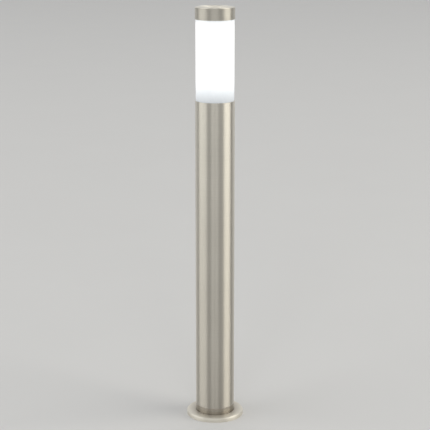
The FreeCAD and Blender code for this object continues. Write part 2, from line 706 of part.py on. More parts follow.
def make_holder_terminals():
    """The two terminals, each with a bore for its wire from below and a slotted screw from above."""
    x, y, half = "(wire_pitch / 2)", "(-wire_setback)", "(terminal_side / 2)"
    body = new_body("holder_terminals")
    sketch = new_sketch(body, "XY", lift=TERMINAL_BOTTOM)
    add_outline(sketch, box_corners(f"{x} - {half}", f"{x} + {half}", f"{y} - {half}", f"{y} + {half}"))
    block = pad(body, sketch, "terminal_height")
    tapping = new_sketch(body, "XY", lift=FLOOR)
    add_circle(tapping, "terminal_screw / 2", x, y)
    tapped = pocket(body, tapping, "terminal_screw_length - contact_sheet")
    drilling = new_sketch(body, "XY", lift=WIRE_END)
    add_circle(drilling, "wire_dia / 2 + terminal_room", x, y)
    mirror(body, [block, tapped, pocket(body, drilling, "terminal_height / 2")])

    screws = new_body("holder_terminal_screws")
    shanks = new_sketch(screws, "XY", lift=f"{STRIP_TOP} - terminal_screw_length")
    add_circle(shanks, "terminal_screw / 2", x, y)
    shank = pad(screws, shanks, "terminal_screw_length")
    heads = new_sketch(screws, "XY", lift=STRIP_TOP)
    add_circle(heads, "terminal_screw_head / 2", x, y)
    head = pad(screws, heads, "terminal_screw_head_height")
    slots = new_sketch(screws, "XY", lift=f"{STRIP_TOP} + terminal_screw_head_height")
    arm = "terminal_screw_head / 2 + slot_width"
    slot_ends = (f"{y} - slot_width / 2", f"{y} + slot_width / 2")
    add_outline(slots, box_corners(f"{x} - ({arm})", f"{x} + ({arm})", *slot_ends))
    mirror(screws, [shank, head, pocket(screws, slots, "terminal_screw_head_height / 2")])


def make_holder_contacts():
    """The strip from the live terminal to the centre, and the one from the neutral terminal to the shell."""
    reach_in, reach_out = f"({TERMINAL_R} - terminal_side / 2)", f"({LEDGE_R} - terminal_side / 4)"
    tip, tip_back, tip_end = f"({FLOOR} + contact_rise)", f"({reach_in} / 2)", "(-contact_width / 2)"
    centre = new_body("holder_centre_contact")
    sketch = new_sketch(centre, "XZ")
    add_outline(
        sketch,
        [
            (reach_out, FLOOR),
            (reach_out, STRIP_TOP),
            (reach_in, STRIP_TOP),
            (tip_back, f"{tip} + contact_sheet"),
            (tip_end, f"{tip} + contact_sheet"),
            (tip_end, tip),
            (tip_back, tip),
            (reach_in, FLOOR),
        ],
    )
    pad(centre, sketch, "contact_width", symmetric=True)

    side = new_body("holder_side_contact")
    leg_r, leg_top = f"({LEDGE_R} - contact_sheet)", f"({LEDGE} + holder_shell_sheet)"
    turn(
        side,
        [
            (reach_in, FLOOR),
            (LEDGE_R, FLOOR),
            (LEDGE_R, leg_top),
            (leg_r, leg_top),
            (leg_r, STRIP_TOP),
            (reach_in, STRIP_TOP),
        ],
        angle="contact_angle",
        start="-contact_angle / 2",
    )
    for body in (centre, side):
        hole = new_sketch(body, "XY", lift=STRIP_TOP)
        add_circle(hole, "terminal_screw / 2", TERMINAL_R)
        pocket(body, hole)
    bearing = amount("atan(2 * wire_setback / wire_pitch)")
    centre.Placement = Placement(Vector(), Rotation(Vector(0, 0, 1), 180 + bearing))
    side.Placement = Placement(Vector(), Rotation(Vector(0, 0, 1), -bearing))


def make_holder_screws():
    """The two screws through lampholder, carrier and bracket, and their nuts."""
    head_bottom = f"({FLOOR} - screw_head_height - terminal_room)"
    nut_bottom = f"({BRACKET_FOOT_BOTTOM} - nut_height)"
    body = new_body("holder_screws")
    corners = pan_screw_corners(head_bottom, f"({nut_bottom} - thread_overrun)")
    screw = turn(body, corners, shift="holder_screw_pitch / 2")
    recess = new_sketch(body, "XY", lift=f"{head_bottom} + screw_head_height")
    add_outline(recess, cross_corners("holder_screw_pitch / 2", "0"))
    mirror(body, [screw, pocket(body, recess, "recess_depth")])

    nuts = new_body("holder_nuts")
    sketch = new_sketch(nuts, "XY", lift=nut_bottom)
    add_outline(sketch, hexagon_corners("nut_flats", "holder_screw_pitch / 2", "0"))
    add_circle(sketch, "screw_dia / 2", "holder_screw_pitch / 2")
    mirror(nuts, [pad(nuts, sketch, "nut_height")])


# ---------------------------------------------------------------- supply gear


def make_bracket():
    """Bent steel bracket under the carrier, drilled for the lampholder, the block and the earth screw."""
    body = new_body("gear_bracket")
    side = new_sketch(body, "YZ")
    foot_front, leg_bottom = "(-bracket_foot)", f"({CARRIER_TOP} - bracket_drop)"
    add_outline(
        side,
        [
            (foot_front, BRACKET_FOOT_BOTTOM),
            (LEG_FRONT, BRACKET_FOOT_BOTTOM),
            (LEG_FRONT, leg_bottom),
            (LEG_BACK, leg_bottom),
            (LEG_BACK, CARRIER_BOTTOM),
            (foot_front, CARRIER_BOTTOM),
        ],
    )
    pad(body, side, "bracket_width", symmetric=True)
    round_long_edges(body, [(LEG_FRONT, BRACKET_FOOT_BOTTOM)], "bracket_bend")
    round_long_edges(body, [(LEG_BACK, CARRIER_BOTTOM)], "bracket_bend + bracket_sheet")
    foot_holes = new_sketch(body, "XY", lift=CARRIER_BOTTOM)
    add_circle(foot_holes, "screw_hole / 2", "holder_screw_pitch / 2")
    foot_hole = pocket(body, foot_holes)
    leg_holes = new_sketch(body, "XZ", lift=f"-{LEG_FRONT}")
    add_circle(leg_holes, "screw_hole / 2", "pole_pitch / 2", BLOCK_MIDDLE)
    mirror(body, [foot_hole, pocket(body, leg_holes)])
    earth_hole = new_sketch(body, "XZ", lift=f"-{LEG_FRONT}")
    add_circle(earth_hole, "earth_hole / 2", "pole_pitch", LUG_LEVEL)
    pocket(body, earth_hole)


def first_pole():
    """Where the first pole lies along X."""
    return "(-pole_pitch * (pole_count - 1) / 2)"


def make_terminal_block():
    """Three-pole block: its moulding, its brass clamps and their slotted screws."""
    row = "pole_pitch * (pole_count - 1)"
    clamp_top = f"({BLOCK_TOP} - clamp_inset)"
    clamp_length = "(block_height - 2 * clamp_inset)"
    upper = f"({BLOCK_MIDDLE} + clamp_screw_pitch / 2)"
    front_lift = f"-{BLOCK_FRONT}"

    body = new_body("terminal_block")
    face = new_sketch(body, "XZ", lift=front_lift)
    half = "(block_width / 2)"
    add_outline(face, box_corners(f"-{half}", half, f"{BLOCK_TOP} - block_height", BLOCK_TOP))
    block = pad(body, face, "block_depth")
    block.Reversed = True
    doc.recompute()
    bore = new_sketch(body, "XY", lift=BLOCK_TOP)
    add_circle(bore, "clamp_dia / 2", first_pole(), CLAMP_Y)
    wells = new_sketch(body, "XZ", lift=front_lift)
    for level in (upper, f"({upper} - clamp_screw_pitch)"):
        add_circle(wells, "clamp_screw_well / 2", first_pole(), level)
    bores = [pocket(body, bore), pocket(body, wells, "block_depth / 2")]
    repeat_line(body, bores, "X", row, "pole_count")
    fixing = new_sketch(body, "XZ", lift=front_lift)
    for x in ("pole_pitch / 2", "-pole_pitch / 2"):
        add_circle(fixing, "screw_hole / 2", x, BLOCK_MIDDLE)
    pocket(body, fixing)

    clamps = new_body("terminal_clamps")
    tube = new_sketch(clamps, "XY", lift=f"{clamp_top} - {clamp_length}")
    add_circle(tube, "clamp_dia / 2", first_pole(), CLAMP_Y)
    add_circle(tube, "clamp_bore / 2", first_pole(), CLAMP_Y)
    sleeve = pad(clamps, tube, clamp_length)
    taps = new_sketch(clamps, "XZ", lift=f"-{CLAMP_Y} + clamp_dia")
    for level in (upper, f"({upper} - clamp_screw_pitch)"):
        add_circle(taps, "clamp_screw_dia / 2", first_pole(), level)
    repeat_line(clamps, [sleeve, pocket(clamps, taps, "clamp_dia")], "X", row, "pole_count")

    screws = new_body("terminal_screws")
    shank_end = f"-({CLAMP_Y} - clamp_bore / 2)"
    shank_length = "((clamp_dia - clamp_bore) / 2 + clamp_screw_shank)"
    shanks = new_sketch(screws, "XZ", lift=shank_end)
    heads = new_sketch(screws, "XZ", lift=f"{shank_end} + {shank_length}")
    for level in (upper, f"({upper} - clamp_screw_pitch)"):
        add_circle(shanks, "clamp_screw_dia / 2", first_pole(), level)
        add_circle(heads, "clamp_screw_head / 2", first_pole(), level)
    shank = pad(screws, shanks, shank_length)
    head = pad(screws, heads, "clamp_screw_head_height")
    slots = new_sketch(screws, "XZ", lift=f"{shank_end} + {shank_length} + clamp_screw_head_height")
    side, arm = "(slot_width / 2)", "(clamp_screw_head / 2 + slot_width)"
    for level in (upper, f"({upper} - clamp_screw_pitch)"):
        slot_sides = (f"{first_pole()} - {side}", f"{first_pole()} + {side}")
        add_outline(slots, box_corners(*slot_sides, f"{level} - {arm}", f"{level} + {arm}"))
    slot = pocket(screws, slots, "clamp_screw_head_height / 2")
    repeat_line(screws, [shank, head, slot], "X", row, "pole_count")


def make_block_fixings():
    """The two screws that hold the block to the bracket's leg, and their nuts."""
    shank = "(block_depth + bracket_sheet + nut_height + thread_overrun)"
    screws = new_body("block_screws")
    shanks = new_sketch(screws, "XZ", lift=f"-{BLOCK_FRONT}")
    add_circle(shanks, "screw_dia / 2", "pole_pitch / 2", BLOCK_MIDDLE)
    stem = pad(screws, shanks, shank)
    stem.Reversed = True
    heads = new_sketch(screws, "XZ", lift=f"-{BLOCK_FRONT}")
    add_circle(heads, "screw_head / 2", "pole_pitch / 2", BLOCK_MIDDLE)
    head = pad(screws, heads, "screw_head_height")
    recess = new_sketch(screws, "XZ", lift=f"-{BLOCK_FRONT} + screw_head_height")
    add_outline(recess, cross_corners("pole_pitch / 2", BLOCK_MIDDLE))
    mirror(screws, [stem, head, pocket(screws, recess, "recess_depth")])

    nuts = new_body("block_nuts")
    sketch = new_sketch(nuts, "XZ", lift=f"-{LEG_BACK}")
    add_outline(sketch, hexagon_corners("nut_flats", "pole_pitch / 2", BLOCK_MIDDLE))
    add_circle(sketch, "screw_dia / 2", "pole_pitch / 2", BLOCK_MIDDLE)
    nut = pad(nuts, sketch, "nut_height")
    nut.Reversed = True
    mirror(nuts, [nut])


def make_earth_point():
    """Earth lug on the bracket's leg, with its screw, toothed washer and nut."""
    x = "pole_pitch"
    lug_front = f"({LEG_FRONT} - lug_sheet)"
    lug = new_body("earth_lug")
    plate = new_sketch(lug, "XZ", lift=f"-{LEG_FRONT}")
    add_circle(plate, "lug_ring / 2", x, LUG_LEVEL)
    pad(lug, plate, "lug_sheet")
    barrel = new_sketch(lug, "XY", lift=LUG_BARREL_BOTTOM)
    add_circle(barrel, "lug_barrel / 2", x, LUG_BARREL_Y)
    pad(lug, barrel, "lug_barrel_length + lug_ring / 4")
    bore = new_sketch(lug, "XY", lift=f"{LUG_BARREL_BOTTOM} + lug_barrel_length")
    add_circle(bore, "lug_barrel_bore / 2", x, LUG_BARREL_Y)
    pocket(lug, bore, "lug_barrel_length")
    seat = new_sketch(lug, "XZ", lift=f"-{LEG_FRONT} + lug_barrel + lug_sheet")
    add_circle(seat, "earth_head / 2 + lug_sheet / 2", x, LUG_LEVEL)
    pocket(lug, seat, "lug_barrel")
    hole = new_sketch(lug, "XZ", lift=f"-{lug_front}")
    add_circle(hole, "earth_hole / 2", x, LUG_LEVEL)
    pocket(lug, hole)

    washer = new_body("earth_washer")
    sketch = new_sketch(washer, "XZ", lift=f"-{lug_front}")
    add_circle(sketch, "earth_head / 2", x, LUG_LEVEL)
    add_circle(sketch, "earth_hole / 2", x, LUG_LEVEL)
    pad(washer, sketch, "earth_washer_thickness")

    screw = new_body("earth_screw")
    stack = "(earth_washer_thickness + lug_sheet + bracket_sheet + earth_nut_height + thread_overrun / 2)"
    shank = new_sketch(screw, "XZ", lift=f"-{lug_front} + earth_washer_thickness")
    add_circle(shank, "earth_screw_dia / 2", x, LUG_LEVEL)
    pad(screw, shank, stack).Reversed = True
    head = new_sketch(screw, "XZ", lift=f"-{lug_front} + earth_washer_thickness")
    add_circle(head, "earth_head / 2 - lug_sheet / 2", x, LUG_LEVEL)
    pad(screw, head, "earth_head_height")
    recess = new_sketch(screw, "XZ", lift=f"-{lug_front} + earth_washer_thickness + earth_head_height")
    add_outline(recess, cross_corners(x, LUG_LEVEL))
    pocket(screw, recess, "recess_depth")

    nut = new_body("earth_nut")
    sketch = new_sketch(nut, "XZ", lift=f"-{LEG_BACK}")
    add_outline(sketch, hexagon_corners("earth_nut_flats", x, LUG_LEVEL))
    add_circle(sketch, "earth_screw_dia / 2", x, LUG_LEVEL)
    pad(nut, sketch, "earth_nut_height").Reversed = True


def wire_through(name, route):
    """An insulated wire: straight runs joined by arcs as large as the runs allow."""
    points = [Vector(*(amount(text) for text in point)) for point in route]
    edges, here, radii = [], points[0], []
    for before, corner, after in zip(points, points[1:], points[2:]):
        into, out = corner - before, after - corner
        half_turn = into.getAngle(out) / 2
        setback = ARC_SHARE * min(into.Length, out.Length)
        radius = setback / math.tan(half_turn)
        into, out = into.normalize(), out.normalize()
        start, end = corner - into * setback, corner + out * setback
        middle = corner + (out - into).normalize() * (radius / math.cos(half_turn) - radius)
        edges += [Part.makeLine(here, start), Part.Arc(start, middle, end).toShape()]
        here = end
        radii.append(round(radius, 1))
    edges.append(Part.makeLine(here, points[-1]))
    path, thickness = Part.Wire(edges), amount("wire_dia")
    section = Part.Wire([Part.makeCircle(thickness / 2, points[0], points[1] - points[0])])
    feature = doc.addObject("Part::Feature", name)
    feature.Label = name
    feature.Shape = path.makePipeShell([section], True, True)
    sub_parts.append(feature)
    share = feature.Shape.Volume / (path.Length * math.pi * thickness**2 / 4)
    print(f"{name}: {path.Length:.1f} long, bend radii {radii}, volume {share:.4f} of section times length")


def make_wires():
    """Live and neutral up to the lampholder, and earth up to its lug."""
    bottom = f"({BLOCK_TOP} - clamp_inset - wire_grip)"
    for name, pole, terminal in (
        ("wire_live", first_pole(), "-wire_pitch / 2"),
        ("wire_neutral", f"({first_pole()} + pole_pitch)", "wire_pitch / 2"),
    ):
        wire_through(
            name,
            [
                (pole, CLAMP_Y, bottom),
                (pole, CLAMP_Y, f"{BLOCK_TOP} + wire_grip"),
                (terminal, "-wire_setback", f"{CARRIER_BOTTOM} - 2 * wire_grip"),
                (terminal, "-wire_setback", WIRE_END),
            ],
        )
    pole = f"({first_pole()} + 2 * pole_pitch)"
    barrel_inside = f"({LUG_BARREL_BOTTOM} + lug_barrel_length / 2)"
    wire_through(
        "wire_earth",
        [
            (pole, CLAMP_Y, bottom),
            (pole, CLAMP_Y, f"{BLOCK_TOP} + wire_grip / 2"),
            (pole, LUG_BARREL_Y, f"{LUG_BARREL_BOTTOM} - wire_grip / 2"),
            (pole, LUG_BARREL_Y, barrel_inside),
        ],
    )


# ---------------------------------------------------------------- head


def make_collar():
    """Moulded collar glued into the opal tube: flange with a seal groove, and bayonet slots inside."""
    groove_half = "(seal_cord / 2 + groove_play)"
    groove_middle = f"({CARRIER_TOP} + collar_flange / 2)"
    top = f"({CARRIER_TOP} + collar_height)"
    body = turned(
        "head_collar",
        [
            (COLLAR_BORE_R, CARRIER_TOP),
            (COLLAR_FLANGE_R, CARRIER_TOP),
            (COLLAR_FLANGE_R, f"{groove_middle} - {groove_half}"),
            (GROOVE_R, f"{groove_middle} - {groove_half}"),
            (GROOVE_R, f"{groove_middle} + {groove_half}"),
            (COLLAR_FLANGE_R, f"{groove_middle} + {groove_half}"),
            (COLLAR_FLANGE_R, DIFFUSER_BOTTOM),
            (COLLAR_R, DIFFUSER_BOTTOM),
            (COLLAR_R, top),
            (COLLAR_BORE_R, top),
        ],
    )
    inside = f"({COLLAR_BORE_R} - neck_gap)"
    roof = f"({CARRIER_TOP} + lug_level + lug_height + slot_play)"
    entry_start, entry = "(-lug_angle / 2 - lug_play)", "(lug_angle + 2 * lug_play)"
    way_in = turn(
        body, box_corners(inside, SLOT_R, CARRIER_TOP, roof), angle=entry, start=entry_start, cut=True
    )
    groove_floor = f"({CARRIER_TOP} + lug_level - slot_play)"
    lock = turn(
        body,
        box_corners(inside, SLOT_R, groove_floor, roof),
        angle=f"{entry} + lock_angle",
        start=entry_start,
        cut=True,
    )
    repeat_round(body, [way_in, lock])


def make_head():
    """Opal tube, sealing ring, cap, and what joins the cap to the tube."""
    ring("diffuser", DIFFUSER_BORE_R, DIFFUSER_R, DIFFUSER_BOTTOM, DIFFUSER_TOP)
    seal = new_body("head_seal")
    sketch = new_sketch(seal, "XZ")
    seal_r, seal_level = f"{GROOVE_R} + seal_gap + seal_cord / 2", f"{CARRIER_TOP} + collar_flange / 2"
    add_circle(sketch, "seal_cord / 2", seal_r, seal_level)
    spin = seal.newObject("PartDesign::Revolution", "head_seal_revolution")
    spin.Profile = sketch
    spin.ReferenceAxis = (sketch, ["V_Axis"])
    spin.Angle = 360

    skirt_bottom, cap_bore = f"({TOP} - cap_height)", f"({POST_R} - cap_wall)"
    cap = turned(
        "cap",
        [
            ("0", CAP_INSIDE),
            (cap_bore, CAP_INSIDE),
            (cap_bore, skirt_bottom),
            (POST_R, skirt_bottom),
            (POST_R, TOP),
            ("0", TOP),
        ],
    )
    round_rims(cap, [(POST_R, TOP)], "cap_round")

    spigot_bottom = f"({DIFFUSER_TOP} - liner_spigot)"
    spigot_bore = f"({COLLAR_R} - liner_wall)"
    turned(
        "cap_liner",
        [
            ("stud_dia / 2", LINER_BOTTOM),
            (spigot_bore, LINER_BOTTOM),
            (spigot_bore, spigot_bottom),
            (COLLAR_R, spigot_bottom),
            (COLLAR_R, LINER_BOTTOM),
            (DIFFUSER_R, LINER_BOTTOM),
            (DIFFUSER_R, CAP_INSIDE),
            ("stud_dia / 2", CAP_INSIDE),
        ],
    )
    ring("cap_seal", DIFFUSER_BORE_R, DIFFUSER_R, DIFFUSER_TOP, LINER_BOTTOM)


def make_cap_fixing():
    """The stud welded under the cap, its washer and its nut."""
    turned("cap_stud", box_corners("0", "stud_dia / 2", f"{CAP_INSIDE} - stud_length", CAP_INSIDE))
    ring("cap_washer", "stud_dia / 2", "washer_dia / 2", CAP_WASHER_BOTTOM, LINER_BOTTOM)
    nut = new_body("cap_nut")
    sketch = new_sketch(nut, "XY", lift=f"{CAP_WASHER_BOTTOM} - cap_nut_height")
    add_outline(sketch, hexagon_corners("cap_nut_flats", "0", "0"))
    add_circle(sketch, "stud_dia / 2")
    pad(nut, sketch, "cap_nut_height")


# ---------------------------------------------------------------- lamp


def make_lamp_base():
    """Contact button, glass insulator, screw shell and the plastic base above it."""
    button_top = f"({LAMP_TIP} + lamp_button_height)"
    rivet_top = f"({button_top} + lamp_rivet_length)"
    turned(
        "lamp_contact",
        [
            ("0", LAMP_TIP),
            ("lamp_button_dia / 2 - lamp_button_height / 2", LAMP_TIP),
            ("lamp_button_dia / 2", f"{LAMP_TIP} + lamp_button_height / 2"),
            ("lamp_button_dia / 2", button_top),
            ("lamp_rivet_dia / 2", button_top),
            ("lamp_rivet_dia / 2", rivet_top),
            ("0", rivet_top),
        ],
    )
    glass_top = f"({LAMP_SHELL_BASE} + lamp_shell_sheet)"
    glass_r = f"({LAMP_SHELL_R} - lamp_shell_lip)"
    turned(
        "lamp_insulator",
        [
            ("lamp_rivet_dia / 2 + lamp_rivet_gap", button_top),
            ("lamp_button_dia / 2 + lamp_rivet_gap", button_top),
            (glass_r, LAMP_SHELL_BASE),
            (glass_r, glass_top),
            (LAMP_SHELL_BORE_R, glass_top),
            (LAMP_SHELL_BORE_R, f"{glass_top} + lamp_base_wall"),
            ("lamp_rivet_dia / 2 + lamp_rivet_gap", f"{glass_top} + lamp_base_wall"),
        ],
    )
    turned(
        "lamp_shell",
        [
            (glass_r, LAMP_SHELL_BASE),
            (LAMP_SHELL_R, LAMP_SHELL_BASE),
            (LAMP_SHELL_R, LAMP_SHELL_TOP),
            (LAMP_SHELL_BORE_R, LAMP_SHELL_TOP),
            (LAMP_SHELL_BORE_R, glass_top),
            (glass_r, glass_top),
        ],
    )
    plug_r, plug_bottom = LAMP_PLUG_R, f"({LAMP_SHELL_BASE} + 2 * lamp_base_wall)"
    bore = f"({plug_r} - lamp_base_wall)"
    flare = f"({LAMP_TIP} + lamp_base_flare)"
    roof = f"({LAMP_BASE_TOP} - lamp_base_wall)"
    shelf = f"({LAMP_TIP} + driver_level)"
    body = turned(
        "lamp_base",
        [
            (bore, plug_bottom),
            (plug_r, plug_bottom),
            (plug_r, LAMP_SHELL_TOP),
            (LAMP_SHELL_R, LAMP_SHELL_TOP),
            (LAMP_SHELL_R, flare),
            ("lamp_dia / 2", f"{LAMP_BASE_TOP} - lamp_base_wall"),
            ("lamp_dia / 2", LAMP_BASE_TOP),
            ("0", LAMP_BASE_TOP),
            ("0", roof),
            (f"{LAMP_SHELL_R} - lamp_base_wall", roof),
            (bore, flare),
            (bore, shelf),
            ("driver_width / 3", shelf),
            ("driver_width / 3", f"{shelf} - lamp_shelf"),
            (bore, f"{shelf} - lamp_shelf"),
        ],
    )
    return body


def make_lamp_driver():
    """Driver board in the lamp's base, and the parts on it."""
    bottom, half = f"({LAMP_TIP} + driver_level)", "(driver_width / 2)"
    board = new_body("lamp_driver_board")
    sketch = new_sketch(board, "XZ")
    add_outline(sketch, box_corners(f"-{half}", half, bottom, f"{bottom} + driver_height - lamp_base_wall"))
    pad(board, sketch, "driver_thickness", symmetric=True)
    parts = new_body("lamp_driver_parts")
    back = "(driver_thickness / 2)"
    capacitor = new_sketch(parts, "XY", lift=f"{bottom} + lamp_shelf")
    add_circle(capacitor, "smoothing_cap_dia / 2", "0", f"{back} + smoothing_cap_dia / 2")
    pad(parts, capacitor, "smoothing_cap_height")
    choke = new_sketch(parts, "XZ", lift=back)
    side, level = "(choke_side / 2)", f"({bottom} + lamp_shelf)"
    add_outline(choke, box_corners(f"-{side}", side, level, f"{level} + choke_height"))
    pad(parts, choke, "choke_side * 3 / 4")


def make_lamp_light():
    """LED board on the base, its LEDs on both faces, and the opal envelope over them."""
    half = "(led_board_width / 2)"
    board = new_body("lamp_led_board")
    sketch = new_sketch(board, "XZ")
    add_outline(sketch, box_corners(f"-{half}", half, LAMP_BASE_TOP, f"{LAMP_BASE_TOP} + led_board_height"))
    pad(board, sketch, "led_board_thickness", symmetric=True)

    leds = new_body("lamp_leds")
    x, first = "(led_column_pitch / 2)", f"({LAMP_BASE_TOP} + led_pitch)"
    chip = new_sketch(leds, "XZ", lift="led_board_thickness / 2")
    wide = ("{} - led_width / 2", "{} + led_width / 2")
    tall = (f"{first} - led_height / 2", f"{first} + led_height / 2")
    add_outline(chip, box_corners(*(text.format(x) for text in wide), *tall))
    add_outline(chip, box_corners(*(text.format(f"-{x}") for text in wide), *tall))
    column = repeat_line(leds, [pad(leds, chip, "led_depth")], "Z", "led_pitch * (led_rows - 1)", "led_rows")
    both = leds.newObject("PartDesign::Mirrored", "lamp_leds_back")
    both.Originals = [column]
    both.TransformMode = "Whole shape"
    both.MirrorPlane = (origin_item(leds, "XZ_Plane"), [""])
    leds.Tip = both

    top, inside = f"({LAMP_TIP} + lamp_length)", "(lamp_dia / 2 - lamp_envelope_wall)"
    under = f"({top} - lamp_envelope_wall)"
    envelope = turned(
        "lamp_envelope",
        [
            (inside, LAMP_BASE_TOP),
            ("lamp_dia / 2", LAMP_BASE_TOP),
            ("lamp_dia / 2", top),
            ("0", top),
            ("0", under),
            (inside, under),
        ],
    )
    round_rims(envelope, [("lamp_dia / 2", top)], "lamp_dome")
    round_rims(envelope, [(inside, under)], "lamp_dome - lamp_envelope_wall")


# ---------------------------------------------------------------- build and export


def check_and_export():
    """Stops if anything failed, then writes each sub-part to its own STEP file."""
    doc.recompute()
    failed = [item.Name for item in doc.Objects if {"Invalid", "Error"} & set(item.State)]
    bad = [item.Label for item in sub_parts if item.Shape.isNull() or not item.Shape.isValid()]
    if failed or bad:
        raise ValueError(f"failed features: {failed}; bad sub-parts: {bad}")
    os.makedirs("parts", exist_ok=True)
    for item in sub_parts:
        item.Shape.exportStep(os.path.join("parts", f"{item.Label}.step"))
    print(f"{len(sub_parts)} sub-parts, {sum(len(item.Shape.Solids) for item in sub_parts)} solids")


write_sheet()
make_foot_plate()
make_post()
make_rosette()
make_support()
make_carrier()
make_carrier_screws()
make_holder_body()
make_holder_shell()
make_holder_terminals()
make_holder_contacts()
make_holder_screws()
make_bracket()
make_terminal_block()
make_block_fixings()
make_earth_point()
make_wires()
make_collar()
make_head()
make_cap_fixing()
make_lamp_base()
make_lamp_driver()
make_lamp_light()
check_and_export()
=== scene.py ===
"""Garden bollard light: a brushed stainless post with a lit opal head, dressed piece by piece round its frame."""

import logging
import math
from collections.abc import Sequence
from dataclasses import dataclass, field
from enum import Enum

import bmesh
import bpy
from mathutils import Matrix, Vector


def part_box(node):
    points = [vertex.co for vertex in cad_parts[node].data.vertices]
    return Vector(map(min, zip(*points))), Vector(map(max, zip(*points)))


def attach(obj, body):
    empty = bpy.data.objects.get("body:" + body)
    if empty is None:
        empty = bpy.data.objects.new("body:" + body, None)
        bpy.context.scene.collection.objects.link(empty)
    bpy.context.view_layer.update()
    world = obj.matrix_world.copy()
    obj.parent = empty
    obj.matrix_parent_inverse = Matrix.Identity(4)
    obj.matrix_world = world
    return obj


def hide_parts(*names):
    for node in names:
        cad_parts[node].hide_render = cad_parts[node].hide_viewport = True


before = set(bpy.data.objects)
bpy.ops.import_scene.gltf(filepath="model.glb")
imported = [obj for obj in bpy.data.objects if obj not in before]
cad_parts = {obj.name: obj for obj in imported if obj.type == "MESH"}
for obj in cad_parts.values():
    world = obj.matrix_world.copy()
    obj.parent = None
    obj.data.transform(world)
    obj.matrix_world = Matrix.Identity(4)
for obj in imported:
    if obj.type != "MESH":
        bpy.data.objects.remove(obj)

log = logging.getLogger("bollard")

MM = 0.001
MICRON = 0.000001
SCATTER = 2 * MM
LEAST_ROUND = 0.3 * MM
FACETS = 256
TINY = 1e-7
TOUCHING = 1e-6
TURN = 2 * math.pi
Colour = tuple[float, float, float]
ProfilePoint = tuple[float, float]
Cloud = tuple[float, float, float]
Socket = bpy.types.NodeSocket
MADE: dict[str, bpy.types.Material] = {}


class Body(Enum):
    """The moving groups that the pieces ride on."""

    POST = "post"
    ROSETTE = "rosette"
    SEAL = "head_seal"
    HEAD = "head"
    LAMP = "lamp"


# ---------------------------------------------------------------- turned shapes


@dataclass(frozen=True)
class Corner:
    """A corner of a turned profile: distance from the axis, height, and the radius that it is rounded to."""

    r: float
    z: float
    soft: float = 0.0


def walk_profile(corners: Sequence[Corner], closed: bool = True, steps: int = 5) -> list[ProfilePoint]:
    """Turns corners into points, with a short arc at each rounded corner.

    Args:
        corners: the profile's corners, in order.
        closed: whether the last corner joins the first.
        steps: flats in each arc.

    Returns:
        The points of the profile as (radius, height).
    """
    points: list[ProfilePoint] = []
    for index, corner in enumerate(corners):
        if corner.soft <= 0 or (not closed and index in (0, len(corners) - 1)):
            points.append((corner.r, corner.z))
            continue
        here = Vector((corner.r, corner.z))
        before, after = corners[index - 1], corners[(index + 1) % len(corners)]
        back = (Vector((before.r, before.z)) - here).normalized()
        on = (Vector((after.r, after.z)) - here).normalized()
        half = back.angle(on) / 2
        centre = here + (back + on).normalized() * (corner.soft / math.sin(half))
        start = here + back * (corner.soft / math.tan(half)) - centre
        end = here + on * (corner.soft / math.tan(half)) - centre
        first = math.atan2(start.y, start.x)
        sweep = (math.atan2(end.y, end.x) - first + math.pi) % TURN - math.pi
        for step in range(steps + 1):
            angle = first + sweep * step / steps
            points.append((centre.x + corner.soft * math.cos(angle), centre.y + corner.soft * math.sin(angle)))
    return points


def tube_profile(node: str, wall: float, soft: float) -> list[ProfilePoint]:
    """The profile of a plain tube, as long and as wide as a node.

    Args:
        node: the node that it stands for.
        wall: the tube's wall.
        soft: the radius of its broken edges.

    Returns:
        The points of the profile, which is closed.
    """
    low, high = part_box(node)
    inner = high.x - wall
    places = ((high.x, low.z), (high.x, high.z), (inner, high.z), (inner, low.z))
    return walk_profile([Corner(r, z, soft) for r, z in places], steps=4)


def cup_profile(node: str, wall: float, crown: float, rim: float, steps: int) -> list[ProfilePoint]:
    """The profile of a cup with its open end down, from the axis over the outside and back to the axis.

    Args:
        node: the node that it stands for.
        wall: the cup's wall.
        crown: the outside radius of its closed end's edge.
        rim: the radius of its rim's edges.
        steps: flats in each arc.

    Returns:
        The points of the profile, which is open.
    """
    low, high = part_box(node)
    inner, under = high.x - wall, high.z - wall
    corners = [Corner(0, high.z), Corner(high.x, high.z, crown), Corner(high.x, low.z, rim), Corner(inner, low.z, rim),
               Corner(inner, under, max(crown - wall, LEAST_ROUND)), Corner(0, under)]
    return walk_profile(corners, closed=False, steps=steps)


def settle(name: str, shape: bmesh.types.BMesh, crease: float = 38.0) -> bpy.types.Object:
    """Makes an object of a finished shape, shaded smooth up to a crease.

    Args:
        name: the piece's name.
        shape: the shape, which is freed.
        crease: the angle in degrees past which an edge stays sharp.

    Returns:
        The new object, at the origin.
    """
    bmesh.ops.recalc_face_normals(shape, faces=shape.faces)
    mesh = bpy.data.meshes.new(name)
    shape.to_mesh(mesh)
    shape.free()
    mesh.shade_smooth()
    mesh.set_sharp_from_angle(angle=math.radians(crease))
    piece = bpy.data.objects.new(name, mesh)
    bpy.context.scene.collection.objects.link(piece)
    return piece


def lathe(name: str, points: Sequence[ProfilePoint], segments: int = FACETS, closed: bool = True) -> bpy.types.Object:
    """Turns a profile round the vertical axis.

    Args:
        name: the piece's name.
        points: the profile, as (radius, height); an open one starts and ends on the axis.
        segments: facets round the axis.
        closed: whether the profile's last point joins its first.

    Returns:
        The turned piece.
    """
    shape = bmesh.new()
    rings = []
    for radius, height in points:
        count = 1 if radius < TINY else segments
        angles = [TURN * k / count for k in range(count)]
        rings.append([shape.verts.new((radius * math.cos(a), radius * math.sin(a), height)) for a in angles])
    for low, high in zip(rings, rings[1:] + (rings[:1] if closed else [])):
        for k in range(segments):
            n = (k + 1) % segments
            around = (low[k % len(low)], low[n % len(low)], high[n % len(high)], high[k % len(high)])
            face = list(dict.fromkeys(around))
            if len(face) > 2:
                shape.faces.new(face)
    return settle(name, shape)


# ---------------------------------------------------------------- node trees


